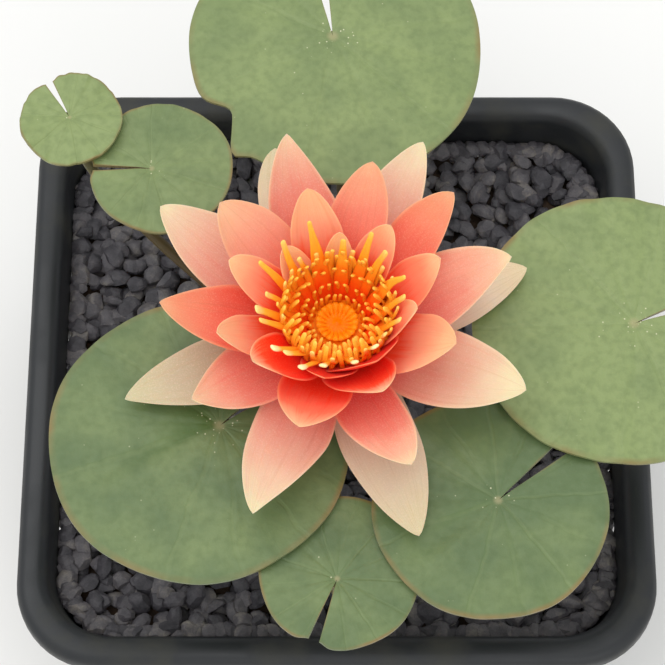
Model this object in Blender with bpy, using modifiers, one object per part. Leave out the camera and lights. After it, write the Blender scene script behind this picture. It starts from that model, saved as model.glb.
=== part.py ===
"""Dwarf water lily growing in a square planting basket.

Lengths are millimetres and angles are degrees, and MM turns them to metres where a mesh or
a curve is made. +Z is up, and the origin is the middle of the basket's base.
"""

import math
import random
from dataclasses import dataclass

import bmesh
import bpy
from mathutils import Matrix, Vector

MM = 0.001
GAP = 0.3
MERGE = 0.02
PLANT_GROUP = "water_lily_in_basket"
CUTTER_GROUP = "cutters"

# Basket, the common 19 cm square size: half widths over the outside of its walls
BASKET_HEIGHT = 100.0
BASKET_FOOT = 75.0
BASKET_RIM = 88.0
BASKET_CORNER = 22.0
BASKET_WALL = 2.0
CORNER_FACETS = 3
FLANGE_OUT = 5.0
FLANGE_DROP = 5.0

# Slots in the walls, in two rows, and in the floor, on both sides of its solid middle
SLOT_WIDTH = 4.5
SLOT_PITCH = 10.5
SLOT_COLUMNS = 10
SLOT_ROWS = ((11.0, 45.0), (54.0, 86.0))
SLOT_CUT_DEPTH = 14.0
FLOOR_SLOT_COLUMNS = 7
FLOOR_SLOT_PITCH = 14.0
FLOOR_SLOT_ENDS = (24.0, 56.0)

# What fills the basket
FILL_CLEARANCE = 0.5
SOIL_TOP = 80.0
GRAVEL_TOP = 88.0
GRAVEL_LUMP = 1.3
GRAVEL_SHIFT = 2.5
GRAVEL_CELLS = 9
GRAVEL_SEED = 5
ROOT_RADIUS = 12.5
ROOT_BOTTOM = 73.0
ROOT_TOP = 95.0
ROOT_CUT_OFF = 3.0
ROOT_POCKET = 13.4
POCKET_HEIGHT = 60.0

# Leaves float at one level over the basket
LEAF_LEVEL = 160.0
LEAF_THICKNESS = 0.9
LEAF_SPOKES = 22
LEAF_RINGS = 2
SLIT_HALF_ANGLE = 6.0

# Stems leave the rootstock in a ring and end upright
STEM_RADIUS = 1.7
STEM_RING = 6.6
STEM_FOOT = 1.5
STEM_POINTS = 10
STEM_END = 3.0
STEM_END_GAP = 1.5 * GAP
FLOWER_STEM_RADIUS = 2.3
FLOWER_STEM_LEAN = 10.0
FLOWER_STEM_ANGLE = 270.0

# The flower opens just above the leaves, and its heights are counted from its own level
FLOWER_X = 0.0
FLOWER_Y = -20.0
FLOWER_LEVEL = 165.0
BARREL_RADIUS = 8.0
BARREL_BOTTOM = -2.0
BARREL_TOP = 9.6
BARREL_SIDES = 21
COLLAR_THICKNESS = 1.0
STAMEN_CLUSTERS = 7
CLUSTER_COLUMNS = 2
CLUSTER_GAP_ANGLE = 4.4
STAMEN_STEP = 1.3
STAMEN_SPACE = 0.22
STIGMA_FACETS = 16
PETAL_SEAT_RADIUS = 8.9
PETAL_THICKNESS = 0.7
PETAL_ACROSS = 4


@dataclass(frozen=True)
class Leaf:
    """A floating leaf: where its stem meets it, its level over the others, and its outline.

    The outline's middle lies offset from the stem, away from the slit. The last two values
    are where the stem stands on the rootstock, and how far it leans out there.
    """

    x: float
    y: float
    over: float
    radius: float
    offset: float
    slit: float
    wave: float
    root_angle: float
    root_lean: float


@dataclass(frozen=True)
class Whorl:
    """What the petals of one whorl share: seat height, base, outline, hollow and facets."""

    seat: float
    claw: float
    belly: float
    tip: float
    cup: float
    rows: int = 6


@dataclass(frozen=True)
class Petal:
    """A petal: where its tip is from the flower's axis, its width, and how it bends."""

    angle: float
    reach: float
    rise: float
    width: float
    sag: float = 0.0
    swing: float = 0.0
    lift: float = 0.0
    roll: float = 0.0


@dataclass(frozen=True)
class StamenRing:
    """One ring of stamens: tip radius and height, bow outwards, taper and pieces along it."""

    reach: float
    rise: float
    bow: float
    thin: float
    steps: int


LEAVES = (
    Leaf(-32.5, -44.0, 0.0, 42.0, 7.0, 37.0, 0.5, 225.0, 18.0),
    Leaf(-54.0, 36.5, 0.0, 21.0, 2.8, 180.0, 0.4, 120.0, 20.0),
    Leaf(-1.2, 81.1, 0.0, 43.5, 4.0, 100.0, 0.5, 75.0, 25.0),
    Leaf(84.0, -14.0, 2.4, 41.0, 5.0, 20.0, 0.6, 0.0, 25.0),
    Leaf(44.3, -66.1, 0.0, 32.5, 3.0, 40.0, 0.4, 312.0, 25.0),
    Leaf(0.0, -88.0, -2.6, 22.0, 2.0, 250.0, 0.4, 268.0, 35.0),
    Leaf(-78.3, 52.2, 2.4, 15.0, 1.0, 120.0, 0.8, 170.0, 35.0),
)

SEPAL_WHORL = Whorl(seat=-0.9, claw=3.2, belly=0.45, tip=0.85, cup=0.16)
SEPALS = (
    Petal(197.7, 61.9, 0.0, 21.0),
    Petal(106.6, 62.8, 0.0, 21.0),
    Petal(290.7, 63.2, 0.0, 21.5),
    Petal(21.8, 58.4, 0.0, 21.0),
)

WHORLS = {
    "a": Whorl(seat=0.8, claw=3.0, belly=0.5, tip=0.8, cup=0.24),
    "b": Whorl(seat=2.5, claw=3.0, belly=0.52, tip=0.75, cup=0.26),
    "c": Whorl(seat=4.2, claw=2.7, belly=0.54, tip=0.7, cup=0.26),
    "d": Whorl(seat=5.9, claw=2.2, belly=0.56, tip=0.62, cup=0.28, rows=5),
    "e": Whorl(seat=7.6, claw=2.0, belly=0.56, tip=0.6, cup=0.24, rows=5),
}
PETALS = {
    "a": (
        Petal(65.1, 58.2, 18.0, 20.0, sag=1.5, swing=6.0),
        Petal(146.9, 58.5, 18.0, 21.0, sag=1.5),
        Petal(248.4, 60.9, 12.0, 22.0, sag=1.5),
        Petal(336.6, 56.0, 15.0, 23.0, sag=1.5),
    ),
    "b": (
        Petal(15.8, 50.0, 24.0, 20.5, sag=3.0),
        Petal(105.4, 52.6, 26.0, 20.5, sag=3.0),
        Petal(212.0, 46.2, 14.0, 20.0, sag=1.5),
        Petal(293.0, 50.5, 22.0, 21.0, sag=2.0, swing=-8.0),
    ),
    "c": (
        Petal(43.4, 44.2, 29.0, 16.5, sag=3.5, swing=-8.0, roll=-4.0),
        Petal(76.3, 41.8, 29.0, 17.0, sag=1.0, swing=7.0, roll=-6.0),
        Petal(139.2, 42.7, 29.0, 20.0, sag=1.0, swing=-6.0),
        Petal(181.0, 48.2, 26.0, 20.0, sag=3.0, swing=2.0, roll=3.0),
        Petal(255.3, 39.6, 28.0, 20.0, sag=2.0),
        Petal(336.2, 35.0, 28.0, 20.0, sag=3.0),
    ),
    "d": (
        Petal(20.3, 30.0, 30.0, 14.0, sag=2.5, swing=-1.0, roll=3.0),
        Petal(53.0, 24.3, 32.0, 12.0, sag=0.2, swing=5.0, roll=-9.0),
        Petal(105.0, 31.8, 32.0, 15.0, sag=3.0),
        Petal(162.5, 30.9, 31.0, 13.0, sag=0.5, swing=-6.0),
        Petal(199.3, 34.4, 29.0, 14.0, sag=4.0, swing=-6.0),
        Petal(221.7, 30.0, 30.0, 14.0, sag=0.2, swing=10.0, roll=-9.0),
        Petal(293.0, 31.0, 29.0, 16.0, sag=2.0),
        Petal(345.3, 22.3, 32.0, 12.0, sag=0.5, swing=-4.0, roll=8.0),
    ),
    "e": (
        Petal(262.2, 24.1, 27.0, 16.0, sag=0.5, lift=0.2),
        Petal(88.0, 20.2, 26.0, 8.5, swing=2.0, lift=0.3),
        Petal(133.0, 21.5, 26.0, 10.0, lift=0.3),
    ),
}

STAMEN_RINGS = (
    StamenRing(reach=16.5, rise=28.0, bow=1.3, thin=0.62, steps=3),
    StamenRing(reach=12.5, rise=24.0, bow=1.05, thin=0.7, steps=3),
    StamenRing(reach=7.5, rise=19.0, bow=1.45, thin=0.9, steps=2),
)

# The stigma disc's profile, from the top of its knob out over the rim to its foot: radius
# and height over the foot
STIGMA_PROFILE = (
    (0.0, 2.2),
    (1.1, 1.7),
    (1.5, 1.0),
    (4.0, 2.3),
    (5.5, 3.8),
    (5.9, 3.2),
    (3.8, 0.0),
    (0.0, 0.0),
)

# Finishes: material name, sRGB colour and roughness
BLACK_PLASTIC = ("basket_plastic", "#1f2123", 0.55)
SOIL_EARTH = ("aquatic_soil", "#3a2c20", 0.95)
DARK_GRAVEL = ("slate_gravel", "#45454a", 0.8)
ROOT_BROWN = ("rootstock_skin", "#4a3a26", 0.85)
LEAF_GREEN = ("leaf_green", "#7d8c5e", 0.5)
STEM_GREEN = ("leaf_stem_green", "#7a6a3e", 0.5)
FLOWER_STEM_GREEN = ("flower_stem_green", "#83743f", 0.5)
SEPAL_CREAM = ("sepal_cream", "#dcc6a8", 0.5)
PETAL_PEACH = ("outer_petal_peach", "#eba68c", 0.5)
PETAL_CORAL = ("inner_petal_coral", "#f08062", 0.5)
RECEPTACLE_GREEN = ("receptacle_green", "#a9a05a", 0.5)
STAMEN_ORANGE = ("stamen_orange", "#f9951e", 0.5)
STIGMA_ORANGE = ("stigma_orange", "#f97f16", 0.5)
PETAL_FINISHES = {
    "a": PETAL_PEACH,
    "b": PETAL_PEACH,
    "c": PETAL_CORAL,
    "d": PETAL_CORAL,
    "e": PETAL_CORAL,
}


def clear_scene():
    """Removes whatever objects the open file holds."""
    for item in list(bpy.data.objects):
        bpy.data.objects.remove(item, do_unlink=True)


def linear(channel):
    """One sRGB channel, 0 to 1, as linear light."""
    return channel / 12.92 if channel <= 0.04045 else ((channel + 0.055) / 1.055) ** 2.4


def material(finish):
    """The Principled material of a finish, made when it is first asked for."""
    name, colour, roughness = finish
    made = bpy.data.materials.get(name)
    if made is None:
        made = bpy.data.materials.new(name)
        made.use_nodes = True
        shader = made.node_tree.nodes["Principled BSDF"]
        channels = [linear(int(colour[i : i + 2], 16) / 255) for i in (1, 3, 5)]
        shader.inputs["Base Color"].default_value = (*channels, 1.0)
        shader.inputs["Roughness"].default_value = roughness
        shader.inputs["Metallic"].default_value = 0.0
    return made


def group(name):
    """A collection of the scene, made when it is first asked for."""
    made = bpy.data.collections.get(name)
    if made is None:
        made = bpy.data.collections.new(name)
        bpy.context.scene.collection.children.link(made)
    return made


def add_object(name, data, finish):
    """Links a new object of the plant or its basket, in its finish."""
    item = bpy.data.objects.new(name, data)
    group(PLANT_GROUP).objects.link(item)
    data.materials.append(material(finish))
    return item


def metre_mesh(name, mesh):
    """Turns a bmesh, built in millimetres, into mesh data in metres, and frees it."""
    bmesh.ops.scale(mesh, vec=(MM, MM, MM), verts=mesh.verts)
    data = bpy.data.meshes.new(name)
    mesh.to_mesh(data)
    mesh.free()
    return data


def add_mesh(name, mesh, finish, crease=40.0):
    """Adds a bmesh as an object, smooth except across edges sharper than the crease."""
    data = metre_mesh(name, mesh)
    data.shade_smooth()
    data.set_sharp_from_angle(angle=math.radians(crease))
    return add_object(name, data, finish)


def add_solid(name, mesh, finish, crease=40.0):
    """Adds a closed bmesh, with its faces turned outwards."""
    bmesh.ops.recalc_face_normals(mesh, faces=mesh.faces)
    return add_mesh(name, mesh, finish, crease)


def add_cutter(name, mesh):
    """Adds a closed bmesh that only cuts other objects."""
    bmesh.ops.recalc_face_normals(mesh, faces=mesh.faces)
    cutter = bpy.data.objects.new(name, metre_mesh(name, mesh))
    group(CUTTER_GROUP).objects.link(cutter)
    cutter.hide_render = True
    cutter.display_type = "WIRE"
    return cutter


def solidify(item, thickness, offset):
    """Gives an open surface its thickness: offset 0 on both sides, -1 on its back."""
    wall = item.modifiers.new("thickness", "SOLIDIFY")
    wall.thickness = thickness * MM
    wall.offset = offset
    wall.use_even_offset = True


def cut(item, cutter, operation="DIFFERENCE"):
    """Cuts an item with a cutter, or keeps only what both share."""
    step = item.modifiers.new(cutter.name, "BOOLEAN")
    step.operation = operation
    step.solver = "EXACT"
    step.object = cutter


def new_verts(made):
    """The vertices among what a bmesh operator returns as its geometry."""
    return [g for g in made["geom"] if isinstance(g, bmesh.types.BMVert)]


def tub_half_width(height):
    """Half the outer width of the tapered basket at a height."""
    share = height / (BASKET_HEIGHT - BASKET_WALL)
    return BASKET_FOOT + (BASKET_RIM - BASKET_FOOT) * share


def tapered_tub(bottom, top, inset):
    """A closed square block with rounded corners, inside the basket's outline by an inset."""
    mesh = bmesh.new()
    bmesh.ops.create_cube(mesh, size=2.0)
    for vertex in mesh.verts:
        height = top if vertex.co.z > 0 else bottom
        half = tub_half_width(height) - inset
        vertex.co = Vector((vertex.co.x * half, vertex.co.y * half, height))
    middle = (bottom + top) / 2
    upright = [e for e in mesh.edges if (e.verts[0].co.z > middle) != (e.verts[1].co.z > middle)]
    bmesh.ops.bevel(
        mesh,
        geom=upright,
        offset=BASKET_CORNER - inset,
        segments=CORNER_FACETS,
        profile=0.5,
        affect="EDGES",
    )
    return mesh


def add_slot(mesh, size, place, turn):
    """Adds one box to a slot cutter: placed on the +X side, then turned about the axis."""
    verts = bmesh.ops.create_cube(mesh, size=1.0)["verts"]
    bmesh.ops.scale(mesh, vec=size, verts=verts)
    bmesh.ops.translate(mesh, vec=place, verts=verts)
    bmesh.ops.rotate(mesh, matrix=Matrix.Rotation(turn, 3, "Z"), verts=verts)


def spread(count, pitch):
    """Places of a row of equal steps about 0."""
    return [(step - (count - 1) / 2) * pitch for step in range(count)]


def slot_cutter():
    """All the slots: two rows of upright ones in each wall, and two rows in the floor."""
    mesh = bmesh.new()
    for low, high in SLOT_ROWS:
        middle = (low + high) / 2
        size = (SLOT_CUT_DEPTH, SLOT_WIDTH, high - low)
        for along in spread(SLOT_COLUMNS, SLOT_PITCH):
            for side in range(4):
                place = (tub_half_width(middle), along, middle)
                add_slot(mesh, size, place, side * math.pi / 2)
    near, far = FLOOR_SLOT_ENDS
    size = (far - near, SLOT_WIDTH, SLOT_CUT_DEPTH)
    for across in spread(FLOOR_SLOT_COLUMNS, FLOOR_SLOT_PITCH):
        for turn in (math.pi / 2, -math.pi / 2):
            add_slot(mesh, size, ((near + far) / 2, across, 0.0), turn)
    return add_cutter("slot_cutter", mesh)


def make_basket():
    """The basket: an open tub with a turned-down rim, slotted in its walls and floor."""
    rim = BASKET_HEIGHT - BASKET_WALL
    mesh = tapered_tub(0.0, rim, 0.0)
    lid = max(mesh.faces, key=lambda f: f.calc_center_median().z)
    bmesh.ops.delete(mesh, geom=[lid], context="FACES_ONLY")
    edges = [e for e in mesh.edges if e.is_boundary]
    grow = (BASKET_RIM + FLANGE_OUT) / BASKET_RIM
    outwards = Matrix.Diagonal((grow, grow, 1.0, 1.0))
    downwards = Matrix.Translation((0.0, 0.0, -FLANGE_DROP))
    for move in (outwards, downwards):
        made = bmesh.ops.extrude_edge_only(mesh, edges=edges)
        verts = new_verts(made)
        bmesh.ops.transform(mesh, matrix=move, verts=verts)
        edges = [e for e in mesh.edges if e.is_boundary]
    item = add_mesh("basket", mesh, BLACK_PLASTIC)
    solidify(item, BASKET_WALL, -1.0)
    cut(item, slot_cutter())


def root_pocket():
    """The round hole that the rootstock sits in."""
    mesh = bmesh.new()
    bmesh.ops.create_cone(
        mesh,
        cap_ends=True,
        segments=16,
        radius1=ROOT_POCKET,
        radius2=ROOT_POCKET,
        depth=POCKET_HEIGHT,
        matrix=Matrix.Translation((0.0, 0.0, ROOT_BOTTOM - GAP + POCKET_HEIGHT / 2)),
    )
    return add_cutter("root_pocket", mesh)


def gravel_ground():
    """A slab with a lumpy top, for the gravel's surface."""
    chance = random.Random(GRAVEL_SEED)
    mesh = bmesh.new()
    half = BASKET_RIM + FLANGE_OUT
    bmesh.ops.create_grid(mesh, x_segments=GRAVEL_CELLS, y_segments=GRAVEL_CELLS, size=half)
    for vertex in mesh.verts:
        vertex.co.z = GRAVEL_TOP - GRAVEL_LUMP * chance.random()
        if not vertex.is_boundary:
            vertex.co.x += chance.uniform(-GRAVEL_SHIFT, GRAVEL_SHIFT)
            vertex.co.y += chance.uniform(-GRAVEL_SHIFT, GRAVEL_SHIFT)
    lower = bmesh.ops.extrude_face_region(mesh, geom=mesh.faces[:])
    for vertex in new_verts(lower):
        vertex.co.z = ROOT_BOTTOM
    return add_cutter("gravel_ground", mesh)


def make_fill():
    """Soil and, on it, the gravel layer, both with the rootstock's pocket."""
    pocket = root_pocket()
    inset = BASKET_WALL + FILL_CLEARANCE
    soil = add_solid("soil", tapered_tub(BASKET_WALL + GAP, SOIL_TOP, inset), SOIL_EARTH)
    cut(soil, pocket)
    block = tapered_tub(SOIL_TOP + GAP, BASKET_HEIGHT, inset)
    gravel = add_solid("gravel", block, DARK_GRAVEL, crease=10.0)
    cut(gravel, gravel_ground(), "INTERSECT")
    cut(gravel, pocket)


def make_rootstock():
    """The stubby rootstock, a ball drawn upright and cut flat where the stems stand."""
    mesh = bmesh.new()
    middle = (ROOT_BOTTOM + ROOT_TOP) / 2
    tall = (ROOT_TOP - ROOT_BOTTOM) / 2 + ROOT_CUT_OFF
    bmesh.ops.create_uvsphere(mesh, u_segments=12, v_segments=7, radius=1.0)
    bmesh.ops.scale(mesh, vec=(ROOT_RADIUS, ROOT_RADIUS, tall), verts=mesh.verts)
    bmesh.ops.translate(mesh, vec=(0.0, 0.0, middle), verts=mesh.verts)
    for height, outwards in ((ROOT_TOP, 1.0), (ROOT_BOTTOM, -1.0)):
        bmesh.ops.bisect_plane(
            mesh,
            geom=mesh.verts[:] + mesh.edges[:] + mesh.faces[:],
            plane_co=(0.0, 0.0, height),
            plane_no=(0.0, 0.0, outwards),
            clear_outer=True,
        )
        bmesh.ops.holes_fill(mesh, edges=[e for e in mesh.edges if e.is_boundary])
    add_solid("rootstock", mesh, ROOT_BROWN)


def leaf_point(leaf, share, out):
    """Point on a leaf's top: share runs once round from slit to slit, out runs to the rim."""
    slit = math.radians(leaf.slit)
    half_slit = math.radians(SLIT_HALF_ANGLE)
    turn = slit + half_slit + share * 2 * (math.pi - half_slit)
    rim = math.sqrt(leaf.radius**2 - (leaf.offset * math.sin(turn - slit)) ** 2)
    distance = (rim - leaf.offset * math.cos(turn - slit)) * out
    wave = math.sin(3 * turn + leaf.x) + 0.6 * math.sin(5 * turn + leaf.y)
    return Vector(
        (
            leaf.x + distance * math.cos(turn),
            leaf.y + distance * math.sin(turn),
            LEAF_LEVEL + leaf.over + leaf.wave * wave * out * out,
        )
    )


def make_leaf(name, leaf):
    """A round leaf with a slit from its rim to the middle, where its stem is."""
    mesh = bmesh.new()
    bmesh.ops.create_grid(mesh, x_segments=LEAF_SPOKES, y_segments=LEAF_RINGS, size=1.0)
    for vertex in mesh.verts:
        vertex.co = leaf_point(leaf, (vertex.co.x + 1) / 2, (vertex.co.y + 1) / 2)
    bmesh.ops.remove_doubles(mesh, verts=mesh.verts, dist=MERGE)
    bmesh.ops.reverse_faces(mesh, faces=mesh.faces)
    item = add_mesh(name, mesh, LEAF_GREEN, crease=60.0)
    solidify(item, LEAF_THICKNESS, -1.0)


def stem_route(start, lean, angle, end):
    """Points of a stem that leaves the rootstock leaning out and ends upright."""
    start = Vector(start)
    end = Vector(end)
    reach = (end - start).length
    tilt = math.radians(lean)
    turn = math.radians(angle)
    outwards = Vector((math.cos(turn), math.sin(turn), 0.0))
    leaving = outwards * math.sin(tilt) + Vector((0.0, 0.0, math.cos(tilt)))
    handles = (start, start + leaving * reach * 0.35, end - Vector((0, 0, reach * 0.4)), end)
    route = []
    for step in range(STEM_POINTS - 1):
        t = step / (STEM_POINTS - 2)
        weights = ((1 - t) ** 3, 3 * t * (1 - t) ** 2, 3 * t * t * (1 - t), t**3)
        route.append(sum((w * p for w, p in zip(weights, handles)), Vector()))
    return [*route, end + Vector((0.0, 0.0, STEM_END))]


def make_stem(name, route, radius, finish):
    """A round stem along its route."""
    curve = bpy.data.curves.new(name, "CURVE")
    curve.dimensions = "3D"
    curve.bevel_depth = radius * MM
    curve.bevel_resolution = 1
    curve.use_fill_caps = True
    line = curve.splines.new("POLY")
    line.points.add(len(route) - 1)
    for point, place in zip(line.points, route):
        point.co = (*(place * MM), 1.0)
    add_object(name, curve, finish)


def make_stems():
    """The leaf stems, in a ring on the rootstock, and the flower stem in their middle."""
    foot = ROOT_TOP + STEM_FOOT
    for number, leaf in enumerate(LEAVES, 1):
        turn = math.radians(leaf.root_angle)
        start = (STEM_RING * math.cos(turn), STEM_RING * math.sin(turn), foot)
        under = LEAF_LEVEL + leaf.over - LEAF_THICKNESS - STEM_END_GAP
        end = (leaf.x, leaf.y, under - STEM_END)
        route = stem_route(start, leaf.root_lean, leaf.root_angle, end)
        make_stem(f"leaf_stem_{number}", route, STEM_RADIUS, STEM_GREEN)
    under = FLOWER_LEVEL + BARREL_BOTTOM - STEM_END_GAP
    end = (FLOWER_X, FLOWER_Y, under - STEM_END)
    route = stem_route((0.0, 0.0, foot), FLOWER_STEM_LEAN, FLOWER_STEM_ANGLE, end)
    make_stem("flower_stem", route, FLOWER_STEM_RADIUS, FLOWER_STEM_GREEN)


def petal_profile(whorl, along):
    """Half width of a petal as a share of its widest, from base (0) to tip (1)."""
    swell = whorl.tip * whorl.belly / (1 - whorl.belly)
    widest = whorl.belly**swell * (1 - whorl.belly) ** whorl.tip
    return (along**swell) * ((1 - along) ** whorl.tip) / widest


def petal_spine(whorl, petal, along):
    """Point of a petal's middle line, and the direction in which it lies."""
    seat = whorl.seat + petal.lift
    turn = math.radians(petal.angle + petal.swing * (1 - along) ** 2)
    out = PETAL_SEAT_RADIUS + (petal.reach - PETAL_SEAT_RADIUS) * along
    height = seat + (petal.rise - seat) * along - petal.sag * 4 * along * (1 - along)
    return Vector((out * math.cos(turn), out * math.sin(turn), height)), turn


def petal_point(whorl, petal, across, along):
    """Point of a petal's middle surface: across runs from -1 to 1, along from 0 to 1."""
    place, turn = petal_spine(whorl, petal, along)
    step = 0.01
    ahead = petal_spine(whorl, petal, along + step)[0]
    behind = petal_spine(whorl, petal, along - step)[0]
    forward = (ahead - behind).normalized()
    side = Vector((-math.sin(turn), math.cos(turn), 0.0))
    side = (side - forward * side.dot(forward)).normalized()
    upward = forward.cross(side)
    lean = math.radians(petal.roll) * math.sin(math.pi * along)
    leaned_side = side * math.cos(lean) + upward * math.sin(lean)
    leaned_up = upward * math.cos(lean) - side * math.sin(lean)
    half = petal.width / 2 * petal_profile(whorl, along) + whorl.claw * (1 - along) ** 4
    return place + leaned_side * across * half + leaned_up * whorl.cup * half * across**2


def make_petal(name, whorl, petal, finish):
    """A petal: a grid bent to its middle surface, closed at the tip and given thickness."""
    mesh = bmesh.new()
    bmesh.ops.create_grid(mesh, x_segments=PETAL_ACROSS, y_segments=whorl.rows, size=1.0)
    centre = Vector((FLOWER_X, FLOWER_Y, FLOWER_LEVEL))
    for vertex in mesh.verts:
        along = min((vertex.co.y + 1) / 2, 1.0)
        vertex.co = centre + petal_point(whorl, petal, vertex.co.x, along)
    bmesh.ops.remove_doubles(mesh, verts=mesh.verts, dist=MERGE)
    item = add_mesh(name, mesh, finish, crease=60.0)
    solidify(item, PETAL_THICKNESS, 0.0)


def make_flower_leaves():
    """The four sepals and the petals of five whorls."""
    for number, sepal in enumerate(SEPALS, 1):
        make_petal(f"sepal_{number}", SEPAL_WHORL, sepal, SEPAL_CREAM)
    for letter, petals in PETALS.items():
        for number, petal in enumerate(petals, 1):
            make_petal(f"petal_{letter}{number}", WHORLS[letter], petal, PETAL_FINISHES[letter])


def stamen_spine(ring, start_radius, along):
    """Radius and height of a stamen's middle at a share of its length."""
    bow = ring.bow * 4 * along * (1 - along)
    out = start_radius + (ring.reach - start_radius) * along + bow
    return out, BARREL_TOP + (ring.rise - BARREL_TOP) * along


def grow_stamen(mesh, face, ring):
    """Draws one face of the collar out into a thin strap."""
    middle = face.calc_center_median()
    start_radius = math.hypot(middle.x, middle.y)
    outward = Vector((middle.x, middle.y, 0.0)).normalized()
    side = Vector((-outward.y, outward.x, 0.0))
    corners = [v.co - middle for v in face.verts]
    for step in range(1, ring.steps + 1):
        along = step / ring.steps
        face = bmesh.ops.extrude_discrete_faces(mesh, faces=[face])["faces"][0]
        out, height = stamen_spine(ring, start_radius, along)
        next_out, next_height = stamen_spine(ring, start_radius, along + 0.01)
        forward = Vector((0.0, 0.0, next_height - height)) + outward * (next_out - out)
        thick = side.cross(forward.normalized())
        place = outward * out + Vector((0.0, 0.0, height))
        narrow = 1 + (ring.thin - 1) * along
        for vertex, corner in zip(face.verts, corners):
            across = side * corner.dot(side) + thick * corner.dot(outward)
            vertex.co = place + across * narrow


def stamen_seats():
    """Radii between the stamen rings, from outside in."""
    return [BARREL_RADIUS - STAMEN_STEP * ring for ring in range(len(STAMEN_RINGS) + 1)]


def make_receptacle():
    """The barrel that carries the petals, stepped in at its top, where the stamens stand."""
    mesh = bmesh.new()
    shoulder = BARREL_TOP - COLLAR_THICKNESS - GAP
    bmesh.ops.create_cone(
        mesh,
        cap_ends=True,
        segments=BARREL_SIDES,
        radius1=BARREL_RADIUS,
        radius2=BARREL_RADIUS,
        depth=shoulder - BARREL_BOTTOM,
        matrix=Matrix.Translation((0.0, 0.0, (shoulder + BARREL_BOTTOM) / 2)),
    )
    top = max(mesh.faces, key=lambda f: f.calc_center_median().z)
    inwards = BARREL_RADIUS - stamen_seats()[-1] + 2 * GAP
    bmesh.ops.inset_individual(mesh, faces=[top], thickness=inwards)
    raised = bmesh.ops.extrude_discrete_faces(mesh, faces=[top])["faces"][0]
    for vertex in raised.verts:
        vertex.co.z = BARREL_TOP
    bmesh.ops.translate(mesh, vec=(FLOWER_X, FLOWER_Y, FLOWER_LEVEL), verts=mesh.verts)
    add_solid("receptacle", mesh, RECEPTACLE_GREEN)


def make_stamen_cluster(number):
    """One sector of the collar round the receptacle's top, and the stamens that grow on it."""
    radii = stamen_seats()
    sector = 2 * math.pi / STAMEN_CLUSTERS
    spread_angle = sector - math.radians(CLUSTER_GAP_ANGLE)
    mesh = bmesh.new()
    bmesh.ops.create_grid(
        mesh, x_segments=CLUSTER_COLUMNS, y_segments=len(STAMEN_RINGS), size=1.0
    )
    for vertex in mesh.verts:
        turn = number * sector + vertex.co.x * spread_angle / 2
        radius = radii[-1] + (radii[0] - radii[-1]) * (vertex.co.y + 1) / 2
        vertex.co = Vector((radius * math.cos(turn), radius * math.sin(turn), BARREL_TOP))
    tops = mesh.faces[:]
    lower = bmesh.ops.extrude_face_region(mesh, geom=tops, use_keep_orig=True)
    bmesh.ops.translate(mesh, vec=(0.0, 0.0, -COLLAR_THICKNESS), verts=new_verts(lower))
    for face in tops:
        middle = face.calc_center_median()
        place = (BARREL_RADIUS - math.hypot(middle.x, middle.y)) / STAMEN_STEP
        bmesh.ops.inset_individual(mesh, faces=[face], thickness=STAMEN_SPACE)
        grow_stamen(mesh, face, STAMEN_RINGS[int(place)])
    bmesh.ops.translate(mesh, vec=(FLOWER_X, FLOWER_Y, FLOWER_LEVEL), verts=mesh.verts)
    add_solid(f"stamens_{number + 1}", mesh, STAMEN_ORANGE)


def make_stigma_disc():
    """The shallow dish in the flower's middle, with a knob, turned from its profile."""
    data = bpy.data.meshes.new("stigma_disc")
    verts = [(radius * MM, 0.0, height * MM) for radius, height in STIGMA_PROFILE]
    data.from_pydata(verts, [(i, i + 1) for i in range(len(verts) - 1)], [])
    item = add_object("stigma_disc", data, STIGMA_ORANGE)
    foot = FLOWER_LEVEL + BARREL_TOP + GAP
    item.location = (FLOWER_X * MM, FLOWER_Y * MM, foot * MM)
    turned = item.modifiers.new("turned", "SCREW")
    turned.steps = STIGMA_FACETS
    turned.render_steps = STIGMA_FACETS
    turned.use_merge_vertices = True
    turned.merge_threshold = MERGE * MM


def main():
    """Builds the basket, what fills it, and the plant from its root to its flower."""
    clear_scene()
    make_basket()
    make_fill()
    make_rootstock()
    for number, leaf in enumerate(LEAVES, 1):
        make_leaf(f"leaf_{number}", leaf)
    make_stems()
    make_flower_leaves()
    make_receptacle()
    for number in range(STAMEN_CLUSTERS):
        make_stamen_cluster(number)
    make_stigma_disc()


main()
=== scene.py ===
"""Dwarf water lily in a square planting basket, modelled and finished over its solids.

Lengths are millimetres and angles are degrees, and MM turns them to metres where a mesh is
made. +Z is up, and the origin is the middle of the basket's base. Heights inside the flower
are counted from the flower's own level.
"""

import logging
import math
import random
from dataclasses import dataclass
from enum import Enum
from functools import partial
from typing import Callable, Iterable, Sequence

import bpy
from mathutils import Matrix, Vector, noise


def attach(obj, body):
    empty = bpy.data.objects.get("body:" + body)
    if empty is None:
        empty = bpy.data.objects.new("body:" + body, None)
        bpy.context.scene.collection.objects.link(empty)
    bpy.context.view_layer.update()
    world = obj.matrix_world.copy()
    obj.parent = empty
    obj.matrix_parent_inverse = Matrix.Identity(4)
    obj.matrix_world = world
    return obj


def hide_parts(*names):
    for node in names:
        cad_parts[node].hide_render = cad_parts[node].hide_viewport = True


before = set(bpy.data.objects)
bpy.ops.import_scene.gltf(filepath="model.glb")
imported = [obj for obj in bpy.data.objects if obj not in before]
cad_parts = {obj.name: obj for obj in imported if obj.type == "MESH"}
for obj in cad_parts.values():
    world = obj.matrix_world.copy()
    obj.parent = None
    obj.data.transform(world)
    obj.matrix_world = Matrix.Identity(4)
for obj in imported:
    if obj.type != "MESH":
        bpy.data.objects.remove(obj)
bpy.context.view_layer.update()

LOG = logging.getLogger("water_lily")
MM = 0.001
BODY = "root"

Piece = bpy.types.Object
Socket = bpy.types.NodeSocket
Inputs = dict[int | str, object] | Sequence[object]
AddNode = Callable[..., Socket]
Pair = tuple[float, float]
Stops = tuple[tuple[float, str], ...]

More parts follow.
